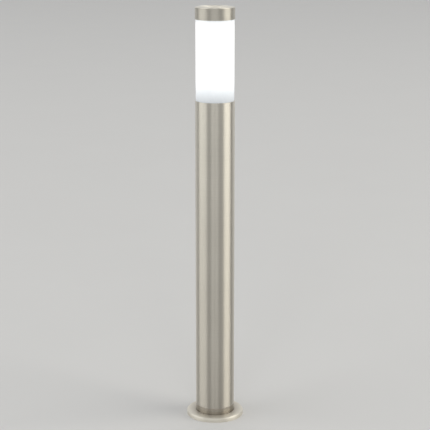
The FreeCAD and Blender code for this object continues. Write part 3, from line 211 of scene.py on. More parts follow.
class Wiring:
    """A node tree that is put together one node at a time."""

    def __init__(self, tree: bpy.types.NodeTree) -> None:
        """Keeps the tree that nodes are added to."""
        self.tree = tree

    def add(self, kind: str, inputs: dict | None = None, **settings: object) -> bpy.types.Node:
        """Adds a node, sets it up and joins its inputs.

        Args:
            kind: the node's type name.
            inputs: what goes into each input, by its name or place: another node's socket, or a value.
            settings: the node's own settings.

        Returns:
            The new node.
        """
        node = self.tree.nodes.new(kind)
        for name, value in settings.items():
            setattr(node, name, value)
        for key, value in (inputs or {}).items():
            if isinstance(value, Socket):
                self.tree.links.new(value, node.inputs[key])
            else:
                node.inputs[key].default_value = value
        return node

    def out(self, kind: str, inputs: dict | None = None, **settings: object) -> Socket:
        """Adds a node, as add does, and gives its first output."""
        return self.add(kind, inputs, **settings).outputs[0]

    def reckon(self, operation: str, *terms: object) -> Socket:
        """One step of arithmetic on sockets or numbers."""
        return self.out("ShaderNodeMath", dict(enumerate(terms)), operation=operation)

    def blend(self, share: Socket, first: object, second: object) -> Socket:
        """Mixes two colours, each a socket or a plain colour, by a share from 0 to 1."""
        sides = [(*side, 1.0) if isinstance(side, tuple) else side for side in (first, second)]
        return self.add("ShaderNodeMix", {0: share, 6: sides[0], 7: sides[1]}, data_type="RGBA").outputs[2]


class Recipe(Wiring):
    """A Geometry Nodes tree with named sizes, which grows one plain mesh."""

    def __init__(self, name: str) -> None:
        """Starts an empty tree.

        Args:
            name: the tree's name.
        """
        super().__init__(bpy.data.node_groups.new(name, "GeometryNodeTree"))
        self.tree.interface.new_socket("Geometry", in_out="OUTPUT", socket_type="NodeSocketGeometry")
        self.source = self.tree.nodes.new("NodeGroupInput")
        self.values: dict[str, float | int] = {}

    def size(self, name: str, value: float | int) -> Socket:
        """A named input of the tree.

        Args:
            name: the size's name, as the modifier shows it.
            value: what it is on this piece; a whole number makes a whole-number input.

        Returns:
            The socket that gives the size.
        """
        kind = "NodeSocketInt" if isinstance(value, int) else "NodeSocketFloat"
        item = self.tree.interface.new_socket(name, in_out="INPUT", socket_type=kind)
        self.values[item.identifier] = value
        return self.source.outputs[name]

    def grow(self, name: str, geometry: Socket, material: bpy.types.Material) -> bpy.types.Object:
        """Ends the tree, evaluates it once and keeps the result as a plain mesh.

        Args:
            name: the piece's name.
            geometry: what the tree has made.
            material: the material that the tree sets.

        Returns:
            The piece, with no modifier left on it.
        """
        real = self.out("GeometryNodeRealizeInstances", {"Geometry": geometry})
        dressed = self.out("GeometryNodeSetMaterial", {"Geometry": real, "Material": material})
        self.add("NodeGroupOutput", {"Geometry": dressed})
        seed = bpy.data.objects.new(f"{name}_seed", bpy.data.meshes.new(f"{name}_seed"))
        bpy.context.scene.collection.objects.link(seed)
        modifier = seed.modifiers.new("grow", "NODES")
        modifier.node_group = self.tree
        for identifier, value in self.values.items():
            modifier[identifier] = value
        bpy.context.view_layer.update()
        graph = bpy.context.evaluated_depsgraph_get()
        grown = bpy.data.meshes.new_from_object(seed.evaluated_get(graph), depsgraph=graph)
        shape = bmesh.new()
        shape.from_mesh(grown)
        bmesh.ops.remove_doubles(shape, verts=shape.verts, dist=TINY)
        bpy.data.objects.remove(seed)
        piece = settle(name, shape)
        piece.data.materials.clear()
        piece.data.materials.append(material)
        return piece


class Surface(Wiring):
    """The nodes of one material, round a single Principled shader."""

    def __init__(self, name: str, **plain: object) -> None:
        """Starts a material and sets what is the same all over it.

        Args:
            name: the finish's name.
            plain: the shader's own values, with underscores for the spaces of a socket's name.
        """
        self.material = bpy.data.materials.new(f"{name}_finish")
        self.material.use_nodes = True
        super().__init__(self.material.node_tree)
        self.shader = self.tree.nodes["Principled BSDF"]
        self.where = self.tree.nodes.new("ShaderNodeTexCoord").outputs["Object"]
        for words, value in plain.items():
            self.shader.inputs[words.replace("_", " ")].default_value = value

    def feed(self, socket: str, source: Socket) -> None:
        """Joins a pattern to one of the shader's inputs."""
        self.tree.links.new(source, self.shader.inputs[socket])

    def stretched(self, scale: Colour) -> Socket:
        """The place on the piece, stretched along each axis."""
        return self.out("ShaderNodeMapping", {"Vector": self.where, "Scale": scale})

    def noise(self, scale: float, detail: float = 3.0, rough: float = 0.5,
              place: Socket | None = None) -> Socket:
        """A cloudy pattern from 0 to 1: its cells to the metre, its octaves, their strength, and where it is read."""
        inputs = {"Vector": place or self.where, "Scale": scale, "Detail": detail, "Roughness": rough}
        return self.out("ShaderNodeTexNoise", inputs)

    def ramp(self, value: Socket, *stops: tuple[float, Colour]) -> Socket:
        """Colours a value, from stop to stop.

        Args:
            value: what is coloured.
            stops: places from 0 to 1, each with its colour.

        Returns:
            The colour.
        """
        node = self.add("ShaderNodeValToRGB", {"Fac": value})
        while len(node.color_ramp.elements) < len(stops):
            node.color_ramp.elements.new(0.5)
        for element, (place, colour) in zip(node.color_ramp.elements, stops):
            element.position = place
            element.color = (*colour, 1.0)
        return node.outputs["Color"]

    def spread(self, value: Socket, low: float, high: float, start: float = 0.3, end: float = 0.7) -> Socket:
        """Maps a value between start and end to one between low and high, and holds it there."""
        inputs = {"Value": value, "From Min": start, "From Max": end, "To Min": low, "To Max": high}
        return self.out("ShaderNodeMapRange", inputs)

    def weigh(self, first: Socket, much: float, second: Socket, little: float) -> Socket:
        """Adds two patterns, each times its weight."""
        return self.reckon("MULTIPLY_ADD", first, much, self.reckon("MULTIPLY", second, little))

    def finished(self, base: Socket, rough: Socket | None = None,
                 height: Socket | None = None, depth: float = 0.0, strength: float = 1.0) -> "Surface":
        """Joins the colour, the gloss and the relief to the shader.

        Args:
            base: the colour.
            rough: the roughness, where it varies.
            height: the pattern that stands out of the surface, if there is one.
            depth: how far it stands out, in metres.
            strength: how much of the relief is seen.

        Returns:
            The surface itself.
        """
        self.feed("Base Color", base)
        if rough:
            self.feed("Roughness", rough)
        if height:
            inputs = {"Height": height, "Distance": depth, "Strength": strength}
            self.feed("Normal", self.out("ShaderNodeBump", inputs))
        return self

    def height(self) -> Socket:
        """The height above the ground, in metres."""
        return self.add("ShaderNodeSeparateXYZ", {0: self.where}).outputs[2]

    def away_from_axis(self) -> Socket:
        """Measures from the upright axis.

        Returns:
            The distance, in metres.
        """
        apart = self.add("ShaderNodeSeparateXYZ", {0: self.where}).outputs
        square = self.reckon("ADD", self.reckon("POWER", apart[0], 2.0), self.reckon("POWER", apart[1], 2.0))
        return self.reckon("SQRT", square)

    def turned_place(self, around: float, across: float) -> Socket:
        """The place for lines that run round the axis, on walls and flat faces alike.

        Args:
            around: how fast the pattern changes along a line.
            across: how fast it changes from line to line.

        Returns:
            The stretched place.
        """
        apart = self.add("ShaderNodeSeparateXYZ", {0: self.where}).outputs
        run = self.reckon("SUBTRACT", apart[2], self.away_from_axis())
        scaled = [self.reckon("MULTIPLY", term, by)
                  for term, by in ((apart[0], around), (apart[1], around), (run, across))]
        return self.out("ShaderNodeCombineXYZ", dict(enumerate(scaled)))


# ---------------------------------------------------------------- finishes


def mixed(first: Colour, second: Colour, share: float) -> Colour:
    """A colour between two others."""
    return tuple(a + (b - a) * share for a, b in zip(first, second))


def shade(colour: Colour, by: float) -> Colour:
    """A colour made lighter or darker by a factor."""
    return tuple(min(1.0, channel * by) for channel in colour)


@dataclass(frozen=True)
class Finish:
    """What a surface is made of. Each finish makes its material once."""

    name: str

    def surface(self) -> Surface:
        """Builds the finish's nodes."""
        raise NotImplementedError

    def material(self) -> bpy.types.Material:
        """Makes the material the first time that it is asked for.

        Returns:
            The finish's material.
        """
        if self.name not in MADE:
            MADE[self.name] = self.surface().material
        return MADE[self.name]


@dataclass(frozen=True)
class BrushedStainless(Finish):
    """Stainless steel brushed round the axis: crisp across, drawn out up and down, with fine hairlines.

    Hairlines and streaks are given by how fast they change along and across the brushing.
    It may be painted darker towards the ground (painted shade), carry a painted band of reflection and shade along its
    foot, and be painted darker from an inner radius out to a painted highlight on its rim. Each of these heights and
    radii is left out where it is 0.
    """

    name: str = "brushed_stainless"
    colour: Colour = (0.715, 0.686, 0.612)
    roughness: float = 0.5
    anisotropy: float = 1.0
    hairline: tuple[float, float] = (18.0, 5200.0)
    streak: tuple[float, float] = (7.0, 420.0)
    # colour of the painted shade and painted reflection laid over the steel
    painted_shade: Colour = (0.43, 0.395, 0.34)
    # painted shade: the steel is painted darker from this height down, by this share at the ground
    shade_up_to: float = 0.0
    foot_shade_share: float = 0.5
    # painted band of reflection and shade: its top, how dark it is, and the softness and wander of its edge
    painted_band_top: float = 0.0
    painted_band_share: float = 0.78
    painted_band_edge: float = 1.2 * MM
    painted_band_wander: float = 2.0 * MM
    wiped: float = 0.24
    # painted shade from this radius outwards, fading to a painted highlight on the rim
    painted_shade_inside: float = 0.0
    inner_shade_share: tuple[float, float] = (0.85, 0.1)
    highlight_rim: float = 0.0
    highlight_edge: float = 1.5 * MM
    highlight_share: float = 0.8
    highlight_lift: float = 1.08

    def surface(self) -> Surface:
        """Builds hairlines, broader brush streaks and a faint handling haze, with painted shade, a painted
        reflection band and a painted highlight over them.

        Returns:
            The nodes, joined to the shader.
        """
        steel = Surface(self.name, Metallic=1.0, Anisotropic=self.anisotropy, Anisotropic_Rotation=0.25)
        steel.feed("Tangent", steel.out("ShaderNodeTangent", direction_type="RADIAL", axis="Z"))
        fine = steel.noise(1.0, 4.0, 0.7, steel.turned_place(*self.hairline))
        broad = steel.noise(1.0, 2.0, 0.6, steel.turned_place(*self.streak))
        haze = steel.noise(9.0, 3.0, 0.55)
        grain = steel.weigh(fine, 0.65, broad, 0.35)
        base = steel.ramp(grain, (0.3, shade(self.colour, 0.93)), (0.5, self.colour), (0.7, shade(self.colour, 1.05)))
        rough = steel.spread(steel.weigh(grain, 1.0, haze, 0.5), self.roughness - 0.04, self.roughness + 0.05, 0.5, 1.0)
        # painted shade: darker towards the ground
        if self.shade_up_to:
            base = steel.blend(steel.spread(steel.height(), self.foot_shade_share, 0.0, 0.0, self.shade_up_to), base,
                               self.painted_shade)
        # painted reflection and shade: a dark band from the ground up; on the post it stands in for the rosette
        # mirrored in the steel and the shade at the joint, on the rosette it shades the skirt
        if self.painted_band_top:
            level = steel.reckon("MULTIPLY_ADD", haze, self.painted_band_wander, steel.height())
            painted_band = steel.spread(level, 1.0, 0.0, self.painted_band_top - self.painted_band_edge, self.painted_band_top + self.painted_band_edge)
            base = steel.blend(steel.reckon("MULTIPLY", painted_band, self.painted_band_share), base, self.painted_shade)
            rough = steel.reckon("MULTIPLY_ADD", painted_band, self.wiped - self.roughness, rough)
        # painted shade near the post, and a painted highlight on the rounded rim
        if self.painted_shade_inside:
            run, rim = steel.away_from_axis(), self.highlight_rim
            base = steel.blend(steel.spread(run, *self.inner_shade_share, self.painted_shade_inside, rim), base, self.painted_shade)
            highlight = steel.spread(run, 0.0, self.highlight_share, rim, rim + self.highlight_edge)
            base = steel.blend(highlight, base, shade(self.colour, self.highlight_lift))
        return steel.finished(base, rough, grain, 40 * MICRON, 0.25)


@dataclass(frozen=True)
class RolledSteel(Finish):
    """Plain rolled steel, with cloudy mill marks and faint scratches."""

    name: str = "rolled_steel"
    colour: Colour = (0.36, 0.35, 0.335)
    bloom: Colour = (0.44, 0.40, 0.36)
    roughness: float = 0.42

    def surface(self) -> Surface:
        """Builds the mottled sheet with drawn scratches.

        Returns:
            The nodes, joined to the shader.
        """
        steel = Surface(self.name, Metallic=0.9)
        cloud = steel.noise(55.0, 6.0, 0.62)
        drawn = steel.noise(1.0, 3.0, 0.6, steel.stretched((60.0, 2600.0, 2600.0)))
        marks = steel.reckon("ADD", cloud, drawn)
        base = steel.ramp(cloud, (0.3, shade(self.colour, 0.72)), (0.52, self.colour), (0.72, self.bloom))
        rough = steel.spread(marks, self.roughness - 0.1, self.roughness + 0.14, 0.7, 1.3)
        return steel.finished(base, rough, marks, 80 * MICRON, 0.35)


@dataclass(frozen=True)
class ZincPlate(Finish):
    """Bright zinc plating, bluish with a faint yellow bloom."""

    name: str = "zinc_plate"
    colour: Colour = (0.66, 0.68, 0.70)
    bloom: Colour = (0.70, 0.66, 0.55)
    roughness: float = 0.27

    def surface(self) -> Surface:
        """Builds the plated metal and its spangle.

        Returns:
            The nodes, joined to the shader.
        """
        zinc = Surface(self.name, Metallic=1.0)
        cloud = zinc.noise(240.0, 4.0, 0.6)
        spangle = zinc.out("ShaderNodeTexVoronoi", {"Vector": zinc.where, "Scale": 1500.0})
        base = zinc.ramp(cloud, (0.35, self.colour), (0.62, self.bloom), (0.75, self.colour))
        rough = zinc.spread(zinc.reckon("ADD", cloud, spangle), self.roughness - 0.08, self.roughness + 0.1, 0.5, 1.4)
        return zinc.finished(base, rough, spangle, 30 * MICRON, 0.2)


@dataclass(frozen=True)
class MouldedPlastic(Finish):
    """Injection-moulded plastic with a fine spark-eroded grain and faint flow clouds."""

    name: str
    colour: Colour
    roughness: float = 0.48
    grain: float = 2100.0
    depth: float = 50 * MICRON
    softness: float = 0.0

    def surface(self) -> Surface:
        """Builds the grain, the flow clouds and the polish worn on in handling.

        Returns:
            The nodes, joined to the shader.
        """
        plastic = Surface(self.name, Specular_IOR_Level=0.45, Subsurface_Weight=self.softness,
                          Subsurface_Scale=SCATTER)
        grain = plastic.noise(self.grain, 2.0, 0.6)
        flow = plastic.noise(45.0, 3.0, 0.5)
        base = plastic.ramp(plastic.weigh(flow, 0.7, grain, 0.3), (0.3, shade(self.colour, 0.84)),
                            (0.5, self.colour), (0.7, shade(self.colour, 1.1)))
        rough = plastic.spread(flow, self.roughness - 0.07, self.roughness + 0.08)
        return plastic.finished(base, rough, grain, self.depth, 0.5)


@dataclass(frozen=True)
class SealRubber(Finish):
    """Black sealing rubber with talc in its pores."""

    name: str = "seal_rubber"
    colour: Colour = (0.021, 0.021, 0.022)
    talc: Colour = (0.075, 0.073, 0.07)

    def surface(self) -> Surface:
        """Builds the dull, slightly dusty rubber.

        Returns:
            The nodes, joined to the shader.
        """
        rubber = Surface(self.name, Specular_IOR_Level=0.35, Sheen_Weight=0.08)
        pores = rubber.noise(1300.0, 3.0, 0.6)
        dust = rubber.noise(70.0, 5.0, 0.65)
        base = rubber.ramp(dust, (0.45, self.colour), (0.75, self.talc))
        return rubber.finished(base, rubber.spread(dust, 0.62, 0.86), pores, 60 * MICRON, 0.5)


@dataclass(frozen=True)
class ContactMetal(Finish):
    """Stamped contact metal, brass or nickel-plated, with drawing lines and a little tarnish."""

    name: str
    colour: Colour
    tarnish: Colour
    roughness: float = 0.24

    def surface(self) -> Surface:
        """Builds the metal, its press lines and its tarnish.

        Returns:
            The nodes, joined to the shader.
        """
        metal = Surface(self.name, Metallic=1.0)
        cloud = metal.noise(160.0, 5.0, 0.6)
        lines = metal.noise(1.0, 3.0, 0.6, metal.stretched((300.0, 300.0, 7000.0)))
        base = metal.ramp(cloud, (0.3, self.tarnish), (0.48, self.colour), (0.75, shade(self.colour, 1.08)))
        rough = metal.spread(metal.reckon("ADD", cloud, lines), self.roughness - 0.07, self.roughness + 0.16, 0.7, 1.3)
        return metal.finished(base, rough, lines, 30 * MICRON, 0.3)


@dataclass(frozen=True)
class WireSkin(Finish):
    """Extruded insulation, of one colour or with a second one in stripes along it."""

    name: str
    colour: Colour
    stripe: Colour | None = None

    def surface(self) -> Surface:
        """Builds the waxy skin and its stripes.

        Returns:
            The nodes, joined to the shader.
        """
        skin = Surface(self.name, Specular_IOR_Level=0.4)
        waxy = skin.noise(300.0, 3.0, 0.5)
        if self.stripe:
            band = skin.add("ShaderNodeTexWave", {"Vector": skin.where, "Scale": 90.0, "Distortion": 0.4,
                                                  "Detail Scale": 40.0}, bands_direction="X").outputs["Fac"]
            base = skin.ramp(band, (0.0, self.colour), (0.58, self.colour), (0.62, self.stripe))
        else:
            base = skin.ramp(waxy, (0.3, shade(self.colour, 0.85)), (0.7, self.colour))
        return skin.finished(base, skin.spread(waxy, 0.3, 0.44), waxy, 50 * MICRON, 0.3)


@dataclass(frozen=True)
class TrackBoard(Finish):
    """A circuit board: solder mask over copper tracks, with bare pads."""

    name: str
    mask: Colour
    track: Colour
    pad: Colour = (0.74, 0.70, 0.60)
    pitch: float = 260.0

    def surface(self) -> Surface:
        """Builds square tracks under the mask and scattered round pads.

        Returns:
            The nodes, joined to the shader.
        """
        board = Surface(self.name, Specular_IOR_Level=0.5, Coat_Weight=0.35, Coat_Roughness=0.18)
        tracks = board.out("ShaderNodeTexVoronoi", {"Vector": board.where, "Scale": self.pitch},
                           feature="F1", distance="CHEBYCHEV")
        pads = board.out("ShaderNodeTexVoronoi", {"Vector": board.where, "Scale": self.pitch * 0.9})
        masked = board.ramp(tracks, (0.0, self.mask), (0.4, self.mask), (0.43, self.track), (0.5, self.track),
                            (0.53, self.mask))
        base = board.blend(board.spread(pads, 1.0, 0.0, 0.1, 0.13), masked, self.pad)
        return board.finished(base, board.spread(tracks, 0.3, 0.42), tracks, 40 * MICRON, 0.3)


@dataclass(frozen=True)
class LitOpal(Finish):
    """Opal plastic lit from inside: brightest beside the lamp, cooler and dimmer towards both ends."""

    name: str
    low: float
    high: float
    glow: float = 0.8
    bottom_glow: float = 0.24
    top_glow: float = 0.5
    warm: Colour = (1.0, 1.0, 0.985)
    cool: Colour = (0.86, 0.93, 1.0)
    fade: float = 0.23
    climb: float = 0.2
    thin_milk: Colour = (0.42, 0.44, 0.455)
    thick_milk: Colour = (0.47, 0.485, 0.495)

    def surface(self) -> Surface:
        """Builds the milky body and its glow, which follows the height.

        Returns:
            The nodes, joined to the shader.
        """
        opal = Surface(self.name, Roughness=0.28, Specular_IOR_Level=0.5, Coat_Weight=0.15, Coat_Roughness=0.12,
                       Emission_Strength=self.glow)
        share = opal.spread(opal.height(), 0.0, 1.0, self.low, self.high)
        milk = opal.noise(38.0, 3.0, 0.55)
        grain = opal.noise(900.0, 2.0, 0.5)
        cool, warm = self.cool, self.warm
        opal.feed("Emission Color", opal.ramp(
            share,
            (0.0, shade(cool, self.bottom_glow / self.glow)),
            (self.fade * 0.5, mixed(shade(cool, (self.bottom_glow + self.climb) / self.glow), warm, 0.25)),
            (self.fade, mixed(cool, warm, 0.8)),
            (0.5, warm),
            (0.93, warm),
            (1.0, shade(mixed(cool, warm, 0.6), self.top_glow / self.glow)),
        ))
        base = opal.ramp(milk, (0.3, self.thin_milk), (0.7, self.thick_milk))
        return opal.finished(base, None, grain, 30 * MICRON, 0.2)


@dataclass(frozen=True)
class Grained(Finish):
    """A finish that a cloud colours, with a gloss and a relief that follow a grain, or the cloud if there is none.

    A stop is a place in the cloud with another colour, or with how much lighter or darker the finish's own is.
    """

    name: str
    colour: Colour
    cloud: Cloud
    stops: tuple[tuple[float, float | Colour], ...]
    gloss: tuple[float, float] | None = None
    depth: float = 0.0
    strength: float = 0.0
    grain: Cloud | None = None
    plain: dict[str, object] = field(default_factory=dict)

    def surface(self) -> Surface:
        """Builds the cloud, its colours and the grain.

        Returns:
            The nodes, joined to the shader.
        """
        body = Surface(self.name, **self.plain)
        cloud = body.noise(*self.cloud)
        grain = body.noise(*self.grain) if self.grain else cloud
        stops = [(place, tone if isinstance(tone, tuple) else shade(self.colour, tone)) for place, tone in self.stops]
        rough = body.spread(grain, *self.gloss) if self.gloss else None
        return body.finished(body.ramp(cloud, *stops), rough, grain if self.depth else None, self.depth, self.strength)


STEEL_COLOUR = BrushedStainless.colour
STEEL = RolledSteel()
ZINC = ZincPlate()
RUBBER = SealRubber()
# White porcelain under a clear glaze, with rare kiln specks.
PORCELAIN = Grained(
    "glazed_porcelain", colour=(0.83, 0.815, 0.775), cloud=(420.0, 1.0, 0.4),
    stops=((0.25, (0.44, 0.38, 0.31)), (0.3, 1.0), (0.8, 1.03)), grain=(120.0, 2.0, 0.5), gloss=(0.22, 0.38),
    depth=200 * MICRON, strength=0.25,
    plain={"Coat_Weight": 0.8, "Coat_Roughness": 0.06, "Subsurface_Weight": 0.12, "Subsurface_Scale": SCATTER})
BRASS = ContactMetal("contact_brass", (0.76, 0.57, 0.27), (0.52, 0.35, 0.16))
NICKEL = ContactMetal("nickel_plate", (0.70, 0.67, 0.62), (0.55, 0.50, 0.43), 0.2)
BLACK_PLASTIC = MouldedPlastic("black_plastic", (0.026, 0.026, 0.028), 0.45)
GREY_PLASTIC = MouldedPlastic("grey_plastic", (0.34, 0.345, 0.35), 0.5)
NATURAL_PLASTIC = MouldedPlastic("natural_plastic", (0.76, 0.745, 0.69), 0.36, 1500.0, 30 * MICRON, 0.25)
LAMP_PLASTIC = MouldedPlastic("lamp_plastic", (0.80, 0.80, 0.785), 0.3, 1200.0, 20 * MICRON, 0.1)
BROWN_WIRE = WireSkin("brown_wire", (0.105, 0.045, 0.022))
BLUE_WIRE = WireSkin("blue_wire", (0.02, 0.09, 0.42))
EARTH_WIRE = WireSkin("earth_wire", (0.03, 0.25, 0.05), (0.82, 0.70, 0.05))
# Solder and tinned copper: bright, dimpled, dull where it cooled last.
SOLDER = Grained(
    "tin_solder", colour=(0.72, 0.71, 0.69), cloud=(520.0, 4.0, 0.55), stops=((0.3, 0.7), (0.6, 1.0)),
    gloss=(0.18, 0.5), depth=200 * MICRON, strength=0.4, plain={"Metallic": 1.0})
DRIVER_BOARD = TrackBoard("driver_board", (0.02, 0.15, 0.06), (0.04, 0.26, 0.10))
LED_BOARD = TrackBoard("led_board", (0.80, 0.80, 0.78), (0.70, 0.70, 0.67), (0.72, 0.70, 0.64), 190.0)
# The driver's capacitor sleeve and ferrite choke, two dark tones with a fine sintered grain.
DRIVER = Grained(
    "driver_parts", colour=(0.035, 0.04, 0.055), cloud=(130.0, 2.0, 0.5),
    stops=((0.44, 1.0), (0.56, (0.07, 0.066, 0.062))), grain=(1800.0, 2.0, 0.5), gloss=(0.3, 0.5),
    depth=50 * MICRON, strength=0.4, plain={"Specular_IOR_Level": 0.5})
# The yellow window of a white LED, grainy with phosphor and faintly lit.
PHOSPHOR = Grained(
    "led_phosphor", colour=(0.93, 0.72, 0.21), cloud=(2600.0, 2.0, 0.6), stops=((0.3, 0.82), (0.7, 1.0)),
    gloss=(0.3, 0.5), depth=40 * MICRON, strength=0.3,
    plain={"Coat_Weight": 0.5, "Coat_Roughness": 0.1, "Emission_Strength": 0.6,
           "Emission_Color": (1.0, 0.86, 0.5, 1.0)})
# The vitreous insulator of a lamp's base: nearly black, glossy, with trapped seeds.
GLASS = Grained(
    "black_glass", colour=(0.012, 0.012, 0.018), cloud=(700.0, 2.0, 0.5), stops=((0.35, 3.0), (0.45, 1.0)),
    gloss=(0.12, 0.24), depth=120 * MICRON, strength=0.3, plain={"Coat_Weight": 1.0, "Coat_Roughness": 0.03})
# The studio's pale floor, matt and barely mottled, and the dull black cloth of its flags.
PALE_FLOOR = Grained(
    "pale_floor", colour=(0.66, 0.66, 0.655), cloud=(3.0, 4.0, 0.5), stops=((0.3, 0.985), (0.7, 1.0)),
    gloss=(0.75, 0.85), plain={"Specular_IOR_Level": 0.12})
DARK_CLOTH = Grained(
    "dark_cloth", colour=(0.03, 0.03, 0.03), cloud=(600.0, 2.0, 0.5), stops=((0.3, 0.333), (0.7, 1.0)),
    plain={"Specular_IOR_Level": 0.0, "Roughness": 1.0})


# ---------------------------------------------------------------- sub-assemblies


def dressed(**finishes: Finish) -> dict[str, Finish]:
    """A sub-assembly's field that says what its carried-over nodes are finished in."""
    return field(default_factory=lambda: finishes)


@dataclass
class SubAssembly:
    """A group of pieces on the light, with what its carried-over nodes are finished in."""

    finishes: dict[str, Finish] = dressed()

    def dress(self) -> None:
        """Gives every carried-over node its finish."""
        for node, finish in self.finishes.items():
            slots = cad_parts[node].data.materials
            slots.clear()
            slots.append(finish.material())
            log.info("%s: %s", node, finish.name)

    def seat(self, piece: bpy.types.Object, body: Body, slot: str, *nodes: str,
             finish: Finish | None = None) -> None:
        """Hands a finished piece to the frame.

        Args:
            piece: the piece.
            body: what it moves with.
            slot: the record's material slot; not used.
            nodes: the nodes that it stands for.
            finish: its finish, if it has none yet.
        """
        if finish:
            piece.data.materials.clear()
            piece.data.materials.append(finish.material())
        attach(piece, body.value)
        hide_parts(*nodes)
        log.info("%s: %d faces, rides on %s", piece.name, len(piece.data.polygons), body.value)

    def build(self) -> None:
        """Makes the group's own pieces."""

    def make(self) -> None:
        """Builds the group and dresses the rest of it."""
        self.build()
        self.dress()


@dataclass
class Foot(SubAssembly):
    """The post, its foot plate, the weld between them, and the grommet."""

    wall: float = 1.0 * MM
    edge: float = 0.25 * MM
    # height of the painted reflection and shade band above the rosette's top
    painted_shade: float = 14.5 * MM
    # painted light: the post's steel is painted this much lighter than the plain steel
    painted_lift: float = 1.1
    weld_scales: int = 96
    scale_half: float = 1.1 * MM
    scale_length: float = 2.0 * MM
    scale_width: float = 1.25 * MM
    scale_thin: float = 0.8
    scale_lean: tuple[float, float] = (0.25, 0.55)
    scale_ragged: tuple[float, float] = (0.9, 1.1)
    scale_seed: int = 7
    grommet_bore: float = 4.5 * MM
    grommet_neck: float = 9.0 * MM
    grommet_bevel: float = 2.0 * MM
    grommet_facets: int = 96
    groove: float = 0.35 * MM
    groove_from: float = 1.4 * MM
    groove_to: float = 2.6 * MM
    finishes: dict[str, Finish] = dressed(foot_plate=STEEL, support_ring=STEEL)

    def build(self) -> None:
        """Turns the tube and the grommet, and lays the weld."""
        tube = lathe("post_skin", tube_profile("post_tube", self.wall, self.edge))
        # painted light: the post's steel is painted lighter, darker towards the ground, and carries a painted
        # reflection band above the rosette
        finish = BrushedStainless("post_steel_painted_shade", colour=shade(STEEL_COLOUR, self.painted_lift),
                                  shade_up_to=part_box("post_tube")[1].z,
                                  painted_band_top=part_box("rosette")[1].z + self.painted_shade)
        self.seat(tube, Body.POST, "brushed_stainless", "post_tube", finish=finish)
        self.seat(self.weld(), Body.POST, "plain_steel", "foot_weld")
        self.seat(self.grommet(), Body.POST, "seal_rubber", "cable_grommet", finish=RUBBER)

    def weld(self) -> bpy.types.Object:
        """Lays the weld inside the tube's foot as overlapping scales.

        Returns:
            The bead.
        """
        low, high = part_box("foot_weld")
        bead = Recipe("weld_bead")
        count = bead.size("Scales", self.weld_scales)
        radius = bead.size("Bead radius", high.x - self.scale_half)
        level = bead.size("Bead height", low.z + self.scale_half)
        length = bead.size("Scale length", self.scale_length)
        width = bead.size("Scale width", self.scale_width)
        ring = bead.out("GeometryNodeMeshCircle", {"Vertices": count, "Radius": radius})
        up = bead.out("ShaderNodeCombineXYZ", {2: level})
        ring = bead.out("GeometryNodeSetPosition", {"Geometry": ring, "Offset": up})
        scale = bead.out("GeometryNodeMeshIcoSphere", {"Radius": 1.0, "Subdivisions": 2})
        step = bead.reckon("DIVIDE", TURN, count)
        turn = bead.reckon("MULTIPLY", bead.out("GeometryNodeInputIndex"), step)
        around = bead.out("ShaderNodeCombineXYZ", dict(enumerate((*self.scale_lean, turn))))
        least, most = self.scale_ragged
        ragged = bead.add("FunctionNodeRandomValue", {2: least, 3: most, "Seed": self.scale_seed}).outputs[1]
        form = bead.out("ShaderNodeCombineXYZ", {0: bead.reckon("MULTIPLY", width, self.scale_thin),
                                                 1: bead.reckon("MULTIPLY", length, ragged), 2: width})
        placed = bead.out("GeometryNodeInstanceOnPoints", {"Points": ring, "Instance": scale, "Rotation": around,
                                                           "Scale": form})
        return bead.grow("weld_bead", placed, STEEL.material())

    def grommet(self) -> bpy.types.Object:
        """Turns the grommet: a neck through the plate, and a wide lip with a soft groove round the cable's bore.

        Returns:
            The grommet.
        """
        low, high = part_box("cable_grommet")
        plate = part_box("foot_plate")[1].z
        bore, wide, neck = self.grommet_bore, high.x, self.grommet_neck
        corners = [
            Corner(bore, low.z, 0.3 * MM), Corner(neck, low.z, 0.3 * MM), Corner(neck, plate, 0.2 * MM),
            Corner(wide, plate, 0.2 * MM), Corner(wide, high.z - 0.5 * MM, 0.6 * MM),
            Corner(wide - self.grommet_bevel, high.z, 0.5 * MM),
            Corner(bore + self.groove_to, high.z - self.groove, 0.4 * MM),
            Corner(bore + self.groove_from, high.z, 0.4 * MM), Corner(bore, high.z, 0.3 * MM),
        ]
        return lathe("grommet_lip", walk_profile(corners, steps=4), self.grommet_facets)


@dataclass
class Rosette(SubAssembly):
    """The loose cover over the foot's fixings, pressed from sheet."""

    sheet: float = 1.0 * MM
    gap: float = 0.3 * MM
    shoulder: float = 3.0 * MM
    edge: float = 0.2 * MM
    satin: float = 0.56
    brushing: float = 0.6
    # share of the shoulder, in from its edge, where the painted highlight starts
    highlight_reach: float = 0.7
    steps: int = 8

    def build(self) -> None:
        """Turns the pressed dish, with a rolled shoulder and broken edges."""
        low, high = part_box("rosette")
        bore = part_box("post_tube")[1].x + self.gap
        outer, inner = high.x, high.x - self.sheet
        under = high.z - self.sheet
        corners = [
            Corner(outer, low.z, self.edge), Corner(outer, high.z, self.shoulder),
            Corner(bore, high.z, self.edge), Corner(bore, under, self.edge),
            Corner(inner, under, self.shoulder - self.sheet), Corner(inner, low.z, self.edge),
        ]
        dish = lathe("rosette_skin", walk_profile(corners, steps=self.steps))
        # painted light: painted shade near the post and on the skirt below the shoulder, and a painted highlight on the
        # shoulder
        finish = BrushedStainless("rosette_steel_painted_light", roughness=self.satin, wiped=self.satin, anisotropy=self.brushing,
                                  painted_shade_inside=bore, highlight_rim=outer - self.shoulder * self.highlight_reach,
                                  painted_band_top=high.z - self.shoulder)
        self.seat(dish, Body.ROSETTE, "brushed_stainless", "rosette", finish=finish)


@dataclass
class Carrier(SubAssembly):
    """The moulded lamp carrier in the post's mouth, with its gasket and screws."""

    finishes: dict[str, Finish] = dressed(carrier_gasket=RUBBER, lamp_carrier=BLACK_PLASTIC, carrier_screws=ZINC)


